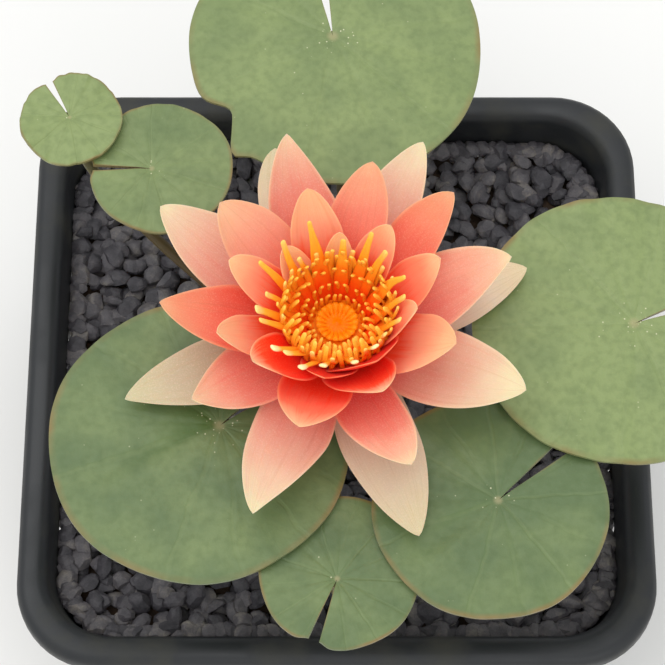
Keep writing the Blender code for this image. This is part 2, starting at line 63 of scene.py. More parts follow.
# Places that the scene shares with the solids
LEAF_LEVEL = 160.0
LEAF_THICKNESS = 0.9
FLOWER = Vector((0.0, -20.0, 165.0))
BARREL_TOP = 9.6
ROOT_TOP = 95.0
TUB_FOOT = 75.0
TUB_RIM = 88.0
TUB_HEIGHT = 98.0
UP = Vector((0.0, 0.0, 1.0))


# Finishes

# Settings of a Mix node that blends colours, with its output, and of a Map Range that eases
COLOURS = {"data_type": "RGBA", "out": 2}
SMOOTH = {"interpolation_type": "SMOOTHSTEP"}


def linear_colour(code: str) -> tuple[float, ...]:
    """Turns an sRGB hex colour to linear light.

    Args:
        code: The colour as "#rrggbb".

    Returns:
        Red, green, blue and an alpha of one.
    """
    channels = [int(code[i : i + 2], 16) / 255 for i in (1, 3, 5)]
    light = [c / 12.92 if c <= 0.04045 else ((c + 0.055) / 1.055) ** 2.4 for c in channels]
    return (*light, 1.0)


def plug(tree: bpy.types.NodeTree, node: bpy.types.Node, inputs: Inputs) -> None:
    """Links or sets a node's inputs.

    Args:
        tree: The material's node tree.
        node: The node.
        inputs: A socket, a value or a hex colour for each input, in order or by name.
    """
    for key, value in inputs.items() if isinstance(inputs, dict) else enumerate(inputs):
        if isinstance(value, Socket):
            tree.links.new(value, node.inputs[key])
        else:
            plain = linear_colour(value) if isinstance(value, str) else value
            node.inputs[key].default_value = plain


def add_node(
    tree: bpy.types.NodeTree,
    kind: str,
    inputs: Inputs = (),
    stops: Stops = (),
    out: int | str = 0,
    **settings: object,
) -> Socket:
    """Adds a node with its settings, its socket values and its links.

    Args:
        tree: The material's node tree.
        kind: The node's type name after "ShaderNode".
        inputs: A socket, a value or a hex colour for each input, in order or by name.
        stops: Places and sRGB colours of a colour ramp.
        out: The output to give back.
        settings: Properties of the node.

    Returns:
        That output of the new node.
    """
    node = tree.nodes.new("ShaderNode" + kind)
    for key, value in settings.items():
        setattr(node, key, value)
    plug(tree, node, inputs)
    for index, (place, code) in enumerate(stops):
        ramp = node.color_ramp.elements
        stop = ramp[index] if index < len(ramp) else ramp.new(place)
        stop.position = place
        stop.color = linear_colour(code)
    return node.outputs[out]


@dataclass(frozen=True)
class Finish:
    """A procedural material: what every finish has in common."""

    name: str

    def material(self) -> bpy.types.Material:
        """Gives the finish's material, and makes it the first time.

        Returns:
            The material.
        """
        made = bpy.data.materials.get(self.name)
        if made is None:
            made = bpy.data.materials.new(self.name)
            made.use_nodes = True
            tree = made.node_tree
            plug(tree, tree.nodes["Principled BSDF"], self.paint(partial(add_node, tree)))
        return made

    def paint(self, add: AddNode) -> Inputs:
        """Builds the finish's nodes; each kind of finish has its own.

        Args:
            add: Adds a node to the material.

        Returns:
            What goes into the shader's inputs.
        """
        raise NotImplementedError


@dataclass(frozen=True)
class PetalSkin(Finish):
    """Petal tissue: thin, satin and a little translucent, veined from base to tip.

    The map's U runs across the petal and V from its base to its tip. Each petal carries its
    own blush, from 0, pale, to 1, deep, which on the sepals is partly painted shade,
    its own delay, which holds the colours back towards the base, and its own grain, which
    shifts the veins. Pale flecks over the skin's cells are painted glint.
    """

    deep: Stops
    pale: Stops
    margin: str
    margin_share: float = 0.45
    vein: str = "#c8402c"
    vein_share: float = 0.2
    # colour of the pale flecks of painted glint over the skin's cells
    speckle: str = "#ffe0cc"
    shine: float = 0.3

    def paint(self, add: AddNode) -> Inputs:
        """Blends the two colour runs, then draws veins, margin and pale flecks of painted glint.

        Args:
            add: Adds a node to the material.

        Returns:
            What goes into the shader's inputs.
        """
        place = add("TexCoord", out="Object")
        across = add("SeparateXYZ", (add("UVMap", uv_map="UVMap"),))
        along = across.node.outputs[1]
        blush, grain, delay = (
            add("Attribute", attribute_name=name, out="Fac") for name in ("blush", "grain", "delay")
        )
        # veins about 0.9 mm apart on a petal 20 mm wide, drawn out along it
        wide = add("Math", (across, 22.0), operation="MULTIPLY")
        long = add("Math", (along, 1.1), operation="MULTIPLY")
        spot = add("CombineXYZ", (wide, long, grain))
        veins = add("TexNoise", {"Vector": spot, "Scale": 1.0, "Detail": 2.5, "Roughness": 0.55})
        # soft clouds of colour, 8 mm across, that shift the run up and down the petal
        clouds = add("TexNoise", {"Vector": place, "Scale": 120.0, "Detail": 2.0})
        run = add("Math", (along, delay), operation="SUBTRACT")
        for pattern, swing in ((clouds, 0.22), (veins, 0.26)):
            shift = add("Math", (pattern, swing, -swing / 2), operation="MULTIPLY_ADD")
            run = add("Math", (run, shift), operation="ADD")
        pale, deep = (add("ValToRGB", (run,), stops) for stops in (self.pale, self.deep))
        # blush picks between the pale and the deep run; on the sepals the deep run is painted shade
        colour = add("Mix", {0: blush, 6: pale, 7: deep}, **COLOURS)
        line = add("MapRange", (veins, 0.52, 0.7, 0.0, self.vein_share))
        off_middle = add("Math", (across, 0.5), operation="SUBTRACT")
        off_middle = add("Math", (off_middle,), operation="ABSOLUTE")
        edge = add("MapRange", (off_middle, 0.43, 0.5, 0.0, self.margin_share), **SMOOTH)
        # the pale edge fades towards the petal's base
        outer = add("MapRange", (along, 0.15, 0.6, 0.15, 1.0))
        edge = add("Math", (edge, outer), operation="MULTIPLY")
        # painted glint: pale flecks where light sparkles off the cells of the skin, 0.35 mm, drawn
        # coarser than the real 0.05 mm so they show
        cells = add("TexNoise", {"Vector": place, "Scale": 2800.0, "Detail": 1.0})
        sparkle = add("MapRange", (cells, 0.5, 0.75, 0.0, 0.22))
        for share, code in ((line, self.vein), (edge, self.margin), (sparkle, self.speckle)):
            colour = add("Mix", {0: share, 6: colour, 7: code}, **COLOURS)
        relief = add("Math", (cells, 0.25, veins), operation="MULTIPLY_ADD")
        return {
            "Base Color": colour,
            "Normal": add("Bump", {"Strength": 0.35, "Distance": 0.0003, "Height": relief}),
            "Roughness": 0.48,
            "IOR": 1.42,
            "Subsurface Weight": 0.3,
            "Subsurface Radius": (1.0, 0.4, 0.2),
            "Subsurface Scale": 0.0025,
            "Specular IOR Level": self.shine,
            "Sheen Weight": 0.05,
            "Sheen Roughness": 0.5,
        }


@dataclass(frozen=True)
class LeafSkin(Finish):
    """Waxy leaf blade with veins that fan out from the stem and fork twice.

    The map's U runs once round the leaf from slit to slit, and V from the middle to the rim.
    Each leaf carries its own tone, from 0, grey-green, to 1, yellow-green, and shows painted
    shade, a dark green, along a crease where its fold says.
    """

    cool: str
    warm: str
    shade: str
    vein: str
    rim: str
    # dark green of the painted shade along a fold
    crease_shade: str = "#3d5810"
    scar: str = "#a99c72"
    pollen: str = "#dcd9b4"
    rough: float = 0.45
    vein_share: float = 0.11
    speck_share: float = 0.9
    veins: int = 13

    def paint(self, add: AddNode) -> Inputs:
        """Mottles the green, then draws veins, painted shade along the fold, rim, the stem's scar and
        specks.

        Args:
            add: Adds a node to the material.

        Returns:
            What goes into the shader's inputs.
        """
        place = add("TexCoord", out="Object")
        turn = add("SeparateXYZ", (add("UVMap", uv_map="UVMap"),))
        out = turn.node.outputs[1]
        tone, fold = (add("Attribute", attribute_name=name, out="Fac") for name in ("tone", "fold"))
        # mottling 14 mm across, with 2.4 mm flecks in it
        broad, fleck = (
            add("TexNoise", {"Vector": place, "Scale": scale, "Detail": 3.0})
            for scale in (70.0, 420.0)
        )
        mottled = add("Math", (broad, 1.3, -0.65), operation="MULTIPLY_ADD")
        toned = add("Math", (mottled, tone), operation="ADD", use_clamp=True)
        colour = add("Mix", {0: toned, 6: self.cool, 7: self.warm}, **COLOURS)
        darker = add("MapRange", (fleck, 0.42, 0.7, 0.0, 0.28))
        wander = add("Math", (broad, 0.03, turn), operation="MULTIPLY_ADD")
        lines = []
        for forks, start in ((1, 0.0), (2, 0.34), (4, 0.66)):
            wave = add("Math", (wander, float(self.veins * forks)), operation="MULTIPLY")
            wave = add("Math", (wave, 1.0), operation="PINGPONG")
            # distance from the vein as it is on the leaf, not as an angle
            wide = add("Math", (wave, out), operation="MULTIPLY")
            line = add("MapRange", (wide, 0.01 * forks, 0.05 * forks, 1.0, 0.0), **SMOOTH)
            begin = add("MapRange", (out, start, start + 0.12, 0.0, 1.0 / forks))
            lines.append(add("Math", (line, begin), operation="MULTIPLY"))
        ribs = add("Math", lines[:2], operation="MAXIMUM")
        ribs = add("Math", (ribs, lines[2]), operation="MAXIMUM")
        veined = add("Math", (ribs, self.vein_share), operation="MULTIPLY")
        # rim and slit edges, browned in patches
        off_middle = add("Math", (turn, 0.5), operation="SUBTRACT")
        off_middle = add("Math", (off_middle,), operation="ABSOLUTE")
        slit = add("MapRange", (off_middle, 0.494, 0.5))
        edge = add("Math", (slit, add("MapRange", (out, 0.955, 0.99))), operation="MAXIMUM")
        patch = add("MapRange", (broad, 0.4, 0.62, 0.15, 0.9))
        edge = add("Math", (edge, patch), operation="MULTIPLY")
        scar = add("MapRange", (out, 0.01, 0.055, 0.5, 0.0), **SMOOTH)
        # grains of pollen and grit, 0.3 to 0.6 mm, mostly near the middle
        cells = {"Vector": place, "Scale": 800.0, "Randomness": 1.0}
        grit = add("TexVoronoi", cells, out="Distance")
        dots = add("MapRange", (grit, 0.1, 0.22, 0.9, 0.0))
        lot = add("SeparateColor", (grit.node.outputs["Color"],))
        few = add("MapRange", (out, 0.02, 0.22, 0.4, 0.98))
        chosen = add("Math", (lot, few), operation="GREATER_THAN")
        near = add("MapRange", (out, 0.05, 0.7, self.speck_share, 0.2))
        for share in (chosen, near):
            dots = add("Math", (dots, share), operation="MULTIPLY")
        coats = (
            (darker, self.shade),
            (veined, self.vein),
            # painted shade along the fold
            (fold, self.crease_shade),
            (edge, self.rim),
            (scar, self.scar),
            (dots, self.pollen),
        )
        for share, code in coats:
            colour = add("Mix", {0: share, 6: colour, 7: code}, **COLOURS)
        height = add("Math", (ribs, -0.6, fleck), operation="MULTIPLY_ADD")
        return {
            "Base Color": colour,
            "Normal": add("Bump", {"Strength": 0.4, "Distance": 0.0004, "Height": height}),
            "Roughness": add("MapRange", (fleck, 0.3, 0.7, self.rough - 0.06, self.rough + 0.1)),
            "IOR": 1.45,
            "Sheen Weight": 0.1,
        }


@dataclass(frozen=True)
class GradedSkin(Finish):
    """Smooth plant tissue whose colour runs along the piece's own V, with fine streaks.

    Where the piece has a pale value, its end takes on the end's own colour by that share.
    """

    run: Stops
    streak: str
    end: str = "#fff0b4"
    streak_share: float = 0.25
    streaks_round: float = 14.0
    rough: float = 0.42
    shine: float = 0.3
    glow: float = 0.15

    def paint(self, add: AddNode) -> Inputs:
        """Runs the colour along V, and draws streaks along it.

        Args:
            add: Adds a node to the material.

        Returns:
            What goes into the shader's inputs.
        """
        uv = add("UVMap", uv_map="UVMap")
        along = add("SeparateXYZ", (uv,), out=1)
        # clouds 2 mm across shift the run a little
        cloud = {"Vector": add("TexCoord", out="Object"), "Scale": 500.0, "Detail": 2.0}
        run = add("Math", (add("TexNoise", cloud), 0.16, along), operation="MULTIPLY_ADD")
        run = add("Math", (run, 0.08), operation="SUBTRACT")
        colour = add("ValToRGB", (run,), self.run)
        drawn_out = (self.streaks_round, 3.0, 1.0)
        spot = add("VectorMath", (uv, drawn_out), operation="MULTIPLY")
        fibres = add("TexNoise", {"Vector": spot, "Scale": 1.0, "Detail": 2.0})
        line = add("MapRange", (fibres, 0.5, 0.68, 0.0, self.streak_share))
        pale = add("Attribute", attribute_name="pale", out="Fac")
        at_end = add("MapRange", (along, 0.82, 0.93, 0.0, 1.4))
        at_end = add("Math", (at_end, pale), operation="MULTIPLY", use_clamp=True)
        for share, code in ((line, self.streak), (at_end, self.end)):
            colour = add("Mix", {0: share, 6: colour, 7: code}, **COLOURS)
        return {
            "Base Color": colour,
            "Normal": add("Bump", {"Strength": 0.3, "Distance": 0.0003, "Height": fibres}),
            "Roughness": self.rough,
            "IOR": 1.42,
            "Subsurface Weight": self.glow,
            "Subsurface Radius": (1.0, 0.5, 0.15),
            "Subsurface Scale": 0.001,
            "Specular IOR Level": self.shine,
        }


@dataclass(frozen=True)
class EarthSkin(Finish):
    """Rough stone, earth or bark: two sizes of grain over a run of colours.

    Where the piece has a lot for each stone, it shifts the stone's colour.
    """

    colours: Stops
    grain_mm: float
    speckle_mm: float
    depth_mm: float
    rough: float = 0.85
    lot_share: float = 0.7

    def paint(self, add: AddNode) -> Inputs:
        """Colours the grain, and raises it.

        Args:
            add: Adds a node to the material.

        Returns:
            What goes into the shader's inputs.
        """
        place = add("TexCoord", out="Object")
        grain, speckle = (
            add("TexNoise", {"Vector": place, "Scale": 1.0 / (size * MM), "Detail": detail})
            for size, detail in ((self.grain_mm, 4.0), (self.speckle_mm, 2.0))
        )
        both = add("Math", (speckle, 0.4, grain), operation="MULTIPLY_ADD")
        level = add("Math", (both, 0.9, -0.13), operation="MULTIPLY_ADD")
        lot = add("Attribute", attribute_name="lot", out="Fac")
        shifted = (lot, self.lot_share, level)
        picked = add("Math", shifted, operation="MULTIPLY_ADD", use_clamp=True)
        relief = {"Strength": 0.6, "Distance": self.depth_mm * MM, "Height": both}
        return {
            "Base Color": add("ValToRGB", (picked,), self.colours),
            "Normal": add("Bump", relief),
            "Roughness": self.rough,
        }


@dataclass(frozen=True)
class MouldedPlastic(Finish):
    """Black moulded polypropylene: a fine matte grain, and a film of silt low down."""

    colour: str
    silt: str
    rough: float = 0.42

    def paint(self, add: AddNode) -> Inputs:
        """Draws the mould's grain and the silt, which dulls the plastic.

        Args:
            add: Adds a node to the material.

        Returns:
            What goes into the shader's inputs.
        """
        place = add("TexCoord", out="Object")
        # spark-eroded mould grain, drawn 0.5 mm so that it shows, and clouds of silt, 18 mm
        grain, film = (
            add("TexNoise", {"Vector": place, "Scale": scale, "Detail": detail})
            for scale, detail in ((2000.0, 2.0), (55.0, 5.0))
        )
        low = add("MapRange", (add("SeparateXYZ", (place,), out=2), 0.0, 0.1, 0.14, -0.04))
        amount = add("Math", (film, low), operation="ADD")
        share = add("MapRange", (amount, 0.48, 0.8, 0.0, 0.34))
        return {
            "Base Color": add("Mix", {0: share, 6: self.colour, 7: self.silt}, **COLOURS),
            "Normal": add("Bump", {"Strength": 0.25, "Distance": 0.0002, "Height": grain}),
            "Roughness": add("MapRange", (amount, 0.35, 0.75, self.rough, self.rough + 0.3)),
            "IOR": 1.49,
        }


@dataclass(frozen=True)
class PlainFloor(Finish):
    """The studio's pale matte floor."""

    colour: str

    def paint(self, add: AddNode) -> Inputs:
        """Gives the floor's one colour and its dull surface."""
        return {"Base Color": self.colour, "Roughness": 0.9}


class Finishes(Enum):
    """The finishes of this plant and its basket."""

    # sepals inside: pale cream with a breath of pink; the duller, greener deep run is painted shade, for
    # the sepals that lie in shade
    SEPAL = PetalSkin(
        "sepal_inner_skin",
        deep=((0.0, "#b88268"), (0.35, "#ba9e80"), (0.7, "#c4b090"), (0.96, "#cbbd96")),
        pale=((0.0, "#e0ae98"), (0.3, "#ecc8b2"), (0.75, "#eed0b2"), (0.97, "#dec29a")),
        margin="#dcb090",
        margin_share=0.4,
        vein="#b5866a",
    )
    # sepals outside: olive green with a broad pink edge, as they are in the bud
    SEPAL_BACK = PetalSkin(
        "sepal_outer_skin",
        deep=((0.0, "#6d7038"), (0.5, "#7d7840"), (0.9, "#94854a")),
        pale=((0.0, "#6d7038"), (0.5, "#837d48"), (0.9, "#a29458")),
        margin="#d9a386",
        margin_share=0.85,
        vein="#7b4a32",
        vein_share=0.3,
    )
    # outer petals: salmon at the base that fades to peach and cream at the tip
    PEACH = PetalSkin(
        "outer_petal_skin",
        deep=((0.0, "#e63220"), (0.3, "#ea5046"), (0.62, "#ee7e6a"), (0.88, "#f3ae8e"), (1.0, "#f2cca2")),
        pale=((0.0, "#e2503c"), (0.3, "#e68070"), (0.6, "#e8a68e"), (0.86, "#e9c4a4"), (1.0, "#ead6ac")),
        margin="#f5d0a8",
        margin_share=0.32,
    )
    # middle petals: pinker, and coloured nearly to the tip
    ROSE = PetalSkin(
        "middle_petal_skin",
        deep=((0.0, "#ea2e18"), (0.3, "#ec4c3a"), (0.62, "#ec7058"), (0.88, "#f0936e"), (1.0, "#f0a87e")),
        pale=((0.0, "#ea4a34"), (0.3, "#ea7660"), (0.6, "#ed9c82"), (0.86, "#f0b08c"), (1.0, "#f0c098")),
        margin="#f6b08a",
        margin_share=0.36,
        # the middle petals' painted glint is pink
        speckle="#ffc4a8",
    )
    # inner petals: deep orange-red in the cup, pushed to full strength as painted glow of light through
    # the petals, coral above it
    CORAL = PetalSkin(
        "inner_petal_skin",
        deep=(
            (0.0, "#ff3c00"), (0.28, "#fe2a00"), (0.6, "#fc2c04"),
            (0.76, "#fa4c24"), (0.9, "#fda078"), (1.0, "#fecc9e"),
        ),
        pale=(
            (0.0, "#ff3c06"), (0.25, "#fc380a"), (0.48, "#fb6038"),
            (0.65, "#fba280"), (0.86, "#fcb88c"), (1.0, "#fcc694"),
        ),
        margin="#fdb488",
        margin_share=0.4,
        vein="#e0301c",
        # the inner petals' painted glint is orange
        speckle="#ff9466",
        shine=0.12,
    )
    # petals outside: duller than inside, with stronger veins
    PETAL_BACK = PetalSkin(
        "petal_outer_face",
        deep=((0.0, "#dd6a52"), (0.35, "#ea8468"), (0.7, "#f09f82"), (1.0, "#f3c39a")),
        pale=((0.0, "#d7907a"), (0.35, "#e3a78d"), (0.7, "#e9bb9c"), (1.0, "#ecd0a6")),
        margin="#f5d3ac",
        vein="#c25a44",
        vein_share=0.22,
    )
    # floating blade on top: waxy grey-green, mottled, with faint pale veins
    LEAF_TOP = LeafSkin(
        "leaf_blade_top",
        cool="#55693e",
        warm="#819058",
        shade="#4f6039",
        vein="#85935f",
        rim="#7f6a3a",
    )
    # the blade's underside: dull bronze with strong pale ribs
    LEAF_BACK = LeafSkin(
        "leaf_blade_underside",
        cool="#7a5f4c",
        warm="#8a7a50",
        shade="#6b4a3e",
        vein="#a39a63",
        rim="#7c4a38",
        rough=0.5,
        vein_share=0.8,
        speck_share=0.0,
    )
    # leaf stems: smooth olive brown, darker towards the root
    LEAF_STEM = GradedSkin(
        "leaf_stem_skin",
        run=((0.0, "#4c3423"), (0.35, "#5a4830"), (0.8, "#5e5837"), (1.0, "#6e6b42")),
        streak="#47291f",
    )
    # flower stem: stouter and a fresher green above
    FLOWER_STEM = GradedSkin(
        "flower_stem_skin",
        run=((0.0, "#5c4528"), (0.4, "#7c6a3c"), (1.0, "#8f8a4c")),
        streak="#6b3a2a",
    )
    # receptacle: green below the petals, orange where the stamens stand on it
    RECEPTACLE = GradedSkin(
        "receptacle_skin",
        run=((0.0, "#848746"), (0.4, "#b5a04c"), (0.66, "#f88a14"), (1.0, "#ff9808")),
        streak="#ff7c08",
        shine=0.12,
    )
    # broad outer stamens: orange-red at the foot, clear orange-yellow at the tip
    BROAD_STAMEN = GradedSkin(
        "broad_stamen_tissue",
        run=(
            (0.0, "#fb4a0a"), (0.22, "#ff520c"), (0.42, "#ff7c14"),
            (0.62, "#ffa024"), (0.88, "#ffbc3e"), (1.0, "#ffce5a"),
        ),
        streak="#fb7c10",
        streaks_round=5.0,
        glow=0.3,
    )
    # slender stamens: orange, with yellow tips
    STAMEN = GradedSkin(
        "stamen_tissue",
        run=(
            (0.0, "#ff6a0a"), (0.2, "#fe780c"), (0.42, "#ff9216"),
            (0.66, "#ffac28"), (0.9, "#ffbe3c"), (1.0, "#ffca52"),
        ),
        streak="#fd8a12",
        streaks_round=5.0,
        glow=0.3,
    )
    # stigma dish: moist and even, deeper orange towards its rim
    STIGMA = GradedSkin(
        "stigma_tissue",
        run=((0.0, "#fb8000"), (0.35, "#fb8604"), (0.62, "#ffa01c"), (0.8, "#f8840c"), (1.0, "#f06808")),
        streak="#f47c06",
        streak_share=0.15,
        rough=0.3,
        shine=0.12,
        glow=0.4,
    )
    # rootstock: rough dark brown bark
    ROOT = EarthSkin(
        "rootstock_bark",
        colours=((0.2, "#241a11"), (0.5, "#4a3a26"), (0.72, "#6a5436"), (0.95, "#8d7750")),
        grain_mm=5.0,
        speckle_mm=0.9,
        depth_mm=0.6,
    )
    # rootlets: smooth, from brown to the pale tan of new growth
    ROOTLET = GradedSkin(
        "rootlet_skin",
        run=((0.0, "#6b4f33"), (0.5, "#a58d66"), (1.0, "#c9b896")),
        streak="#5c4028",
    )
    # slate: broken dark grey chips, some of them warmer, satin on their faces
    SLATE = EarthSkin(
        "slate_chip",
        colours=((0.15, "#2a282c"), (0.4, "#423f43"), (0.65, "#575355"), (0.95, "#7f786f")),
        grain_mm=3.5,
        speckle_mm=0.5,
        depth_mm=0.25,
        rough=0.62,
        lot_share=0.45,
    )
    # loam: crumbly dark brown earth with no gloss
    SOIL = EarthSkin(
        "heavy_loam",
        colours=((0.2, "#1f1710"), (0.5, "#382a1e"), (0.75, "#4d3a28"), (0.98, "#6f5940")),
        grain_mm=3.0,
        speckle_mm=0.6,
        depth_mm=0.6,
        rough=0.95,
    )
    # polypropylene: soft black with a satin mould finish, dulled by silt
    PLASTIC = MouldedPlastic("moulded_polypropylene", colour="#1b1d1f", silt="#5d5a46")
    # floor: plain, pale and dull
    FLOOR = PlainFloor("studio_floor", colour="#eceae6")


# Work on pieces


def start_clean() -> None:
    """Leaves nothing selected, so that an operator acts on new work alone."""
    bpy.ops.object.select_all(action="DESELECT")


def pick(piece: Piece) -> None:
    """Selects one piece alone and makes it active.

    Args:
        piece: The piece.
    """
    start_clean()
    piece.select_set(True)
    bpy.context.view_layer.objects.active = piece


def name_new(name: str) -> Piece:
    """Names the piece that an operator has just made, and its mesh.

    Args:
        name: The name.

    Returns:
        The piece.
    """
    piece = bpy.context.object
    piece.name = name
    piece.data.name = name
    return piece


def apply_modifier(piece: Piece, kind: str, **settings: object) -> None:
    """Adds a modifier and applies it.

    Args:
        piece: The piece.
        kind: The modifier's type name.
        settings: Its properties.
    """
    pick(piece)
    step = piece.modifiers.new(kind.lower(), kind)
    for key, value in settings.items():
        setattr(step, key, value)
    bpy.ops.object.modifier_apply(modifier=step.name)


def thicken(piece: Piece, thickness: float, offset: float, **settings: object) -> None:
    """Gives a skin an even thickness.

    Args:
        piece: The skin.
        thickness: The thickness in millimetres.
        offset: From -1, all of it below the skin, to 1, all of it above.
        settings: Other properties of the modifier.
    """
    even = {"thickness": thickness * MM, "offset": offset, "use_even_offset": True}
    apply_modifier(piece, "SOLIDIFY", **even, **settings)


def edit_all(piece: Piece, work: Callable[[], None]) -> None:
    """Runs operators on all of a piece's mesh in edit mode.

    Args:
        piece: The piece.
        work: The operators to run.
    """
    pick(piece)
    bpy.ops.object.mode_set(mode="EDIT")
    bpy.ops.mesh.select_all(action="SELECT")
    work()
    bpy.ops.object.mode_set(mode="OBJECT")


def merge_doubles(piece: Piece, distance: float, outward: bool = False) -> None:
    """Merges vertices that lie together, and can turn the faces outwards.

    Args:
        piece: The piece.
        distance: How near they lie, in millimetres.
        outward: Whether the normals are worked out again.
    """

    def work() -> None:
        """Merges, and turns the faces where that is wanted."""
        bpy.ops.mesh.remove_doubles(threshold=distance * MM)
        if outward:
            bpy.ops.mesh.normals_make_consistent(inside=False)

    edit_all(piece, work)


def grid_sheet(name: str, across: int, along: int) -> Piece:
    """Adds a flat grid with its map, U across and V along it.

    Args:
        name: The piece's name.
        across: Cells across.
        along: Cells along.

    Returns:
        The grid, from -1 to 1 both ways.
    """
    start_clean()
    bpy.ops.mesh.primitive_grid_add(
        x_subdivisions=across, y_subdivisions=along, size=2.0, calc_uvs=True
    )
    return name_new(name)


def reshape(piece: Piece, shape: Callable[[Vector], Vector]) -> None:
    """Moves each vertex to where a function of its old place says.

    Args:
        piece: The piece.
        shape: Gives the new place in millimetres.
    """
    for vertex in piece.data.vertices:
        vertex.co = shape(vertex.co) * MM
    piece.data.update()


def mark(piece: Piece, **values: float) -> None:
    """Writes named values to all of a piece's points, for its material to read.

    Args:
        piece: The piece.
        values: The values by name.
    """
    for name, value in values.items():
        layer = piece.data.attributes.new(name, "FLOAT", "POINT")
        layer.data.foreach_set("value", [value] * len(piece.data.vertices))


def smooth(piece: Piece, angle: float) -> None:
    """Shades a piece smooth, except over edges sharper than the angle."""
    pick(piece)
    bpy.ops.object.shade_smooth_by_angle(angle=math.radians(angle))


def join(pieces: Sequence[Piece], name: str) -> Piece:
    """Joins pieces to one.

    Args:
        pieces: The pieces, the first of which takes the others in.
        name: The name of the whole.

    Returns:
        The joined piece.
    """
    start_clean()
    for piece in pieces:
        piece.select_set(True)
    bpy.context.view_layer.objects.active = pieces[0]
    bpy.ops.object.join()
    return name_new(name)


def copy_piece(piece: Piece, name: str) -> Piece:
    """Copies a piece together with its mesh.

    Args:
        piece: The piece.
        name: The copy's name.

    Returns:
        The copy.
    """
    twin = piece.copy()
    twin.data = piece.data.copy()
    twin.name = name
    bpy.context.scene.collection.objects.link(twin)
    return twin


def discard(*pieces: Piece) -> None:
    """Takes away pieces that others were made from."""
    for piece in pieces:
        bpy.data.objects.remove(piece, do_unlink=True)


def hand_over(piece: Piece, slot: str, nodes: Iterable[str], *finishes: Finishes) -> None:
    """Dresses a finished piece, attaches it to its body and hides the solids that it replaces.

    Args:
        piece: The piece.
        slot: The record's material slot; not used.
        nodes: Names of the solids that it replaces.
        finishes: Its finishes, one for each of its material slots.
    """
    piece.data.materials.clear()
    for finish in finishes:
        piece.data.materials.append(finish.value.material())
    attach(piece, BODY)
    if nodes:
        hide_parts(*nodes)
    LOG.info("%s: %d faces", piece.name, len(piece.data.polygons))


def close_ends(piece: Piece) -> None:
    """Closes a piece's open rims with a face each, and turns its faces outwards.

    Args:
        piece: The piece.
    """
    pick(piece)
    bpy.ops.object.mode_set(mode="EDIT")
    bpy.ops.mesh.select_all(action="DESELECT")
    bpy.ops.mesh.select_mode(type="EDGE")
    bpy.ops.mesh.select_non_manifold(
        extend=False, use_wire=False, use_multi_face=False, use_non_contiguous=False
    )
    bpy.ops.mesh.edge_face_add()
    bpy.ops.mesh.select_mode(type="VERT")
    bpy.ops.mesh.select_all(action="SELECT")
    bpy.ops.mesh.normals_make_consistent(inside=False)
    bpy.ops.object.mode_set(mode="OBJECT")


def tube(name: str, route: Sequence[Vector], radii: Sequence[float], sides: int = 16) -> Piece:
    """Draws a round tube along a route.

    Args:
        name: The piece's name.
        route: Points along it.
        radii: The radius at each point.
        sides: Faces round it.

    Returns:
        The tube, with V along it.
    """
    last = len(route) - 1
    aside = Vector((0.31, 0.95, 0.05))

    def shape(place: Vector) -> Vector:
        """Gives a vertex its place on the tube."""
        at = min(max(round((place.y + 1) / 2 * last), 0), last)
        forward = (route[min(at + 1, last)] - route[max(at - 1, 0)]).normalized()
        side = forward.cross(aside).normalized()
        turn = -(place.x + 1) * math.pi
        spoke = side * math.cos(turn) + side.cross(forward) * math.sin(turn)
        return route[at] + spoke * radii[at]

    sheet = grid_sheet(name, sides, last)
    reshape(sheet, shape)
    merge_doubles(sheet, 0.01)
    close_ends(sheet)
    return sheet


def smoothstep(low: float, high: float, value: float) -> float:
    """Rises smoothly from 0 at low to 1 at high."""
    share = min(max((value - low) / (high - low), 0.0), 1.0)
    return share * share * (3 - 2 * share)


def bell(value: float, width: float) -> float:
    """Bell curve: 1 where the value is 0, and close to 0 beyond twice the width."""
    return math.exp(-((value / width) ** 2))


def bezier(points: Sequence[Vector], share: float) -> Vector:
    """Gives a point of a curve with four handles.

    Args:
        points: The four handles.
        share: How far along the curve, from 0 to 1.

    Returns:
        The point.
    """
    rest = 1 - share
    weights = (rest**3, 3 * share * rest**2, 3 * share**2 * rest, share**3)
    return sum((w * p for w, p in zip(weights, points)), Vector())


def towards(angle: float) -> Vector:
    """Level direction at an angle in degrees."""
    turn = math.radians(angle)
    return Vector((math.cos(turn), math.sin(turn), 0.0))


# Petals


@dataclass(frozen=True)
class Whorl:
    """What the petals of one whorl share: seat height, base, outline and hollow."""

    seat: float
    claw: float
    belly: float
    tip: float
    cup: float


@dataclass(frozen=True)
class Petal:
    """A petal: where its tip is from the flower's axis, how it bends, and its colour.

    Curl bends the tip up, roll turns the blade about its length, and blush is its
    depth of colour from 0 to 1, which on the sepals is painted shade as well. Left and right,
    as seen from the axis, widen or narrow the two halves, and the points draw them in towards
    the tip. Delay keeps the base's colour up to nearer the tip. A rosy petal is pinker than
    the others of its whorl. A companion grows close to the petal before it and shares its solid.
    """

    angle: float
    reach: float
    rise: float
    width: float
    blush: float
    sag: float = 0.0
    swing: float = 0.0
    lift: float = 0.0
    roll: float = 0.0
    curl: float = 0.4
    left: float = 1.0
    right: float = 1.0
    left_point: float = 0.0
    right_point: float = 0.0
    delay: float = 0.0
    rosy: bool = False
    companion: bool = False


SEPAL_WHORL = Whorl(seat=-0.9, claw=3.2, belly=0.45, tip=0.85, cup=0.16)
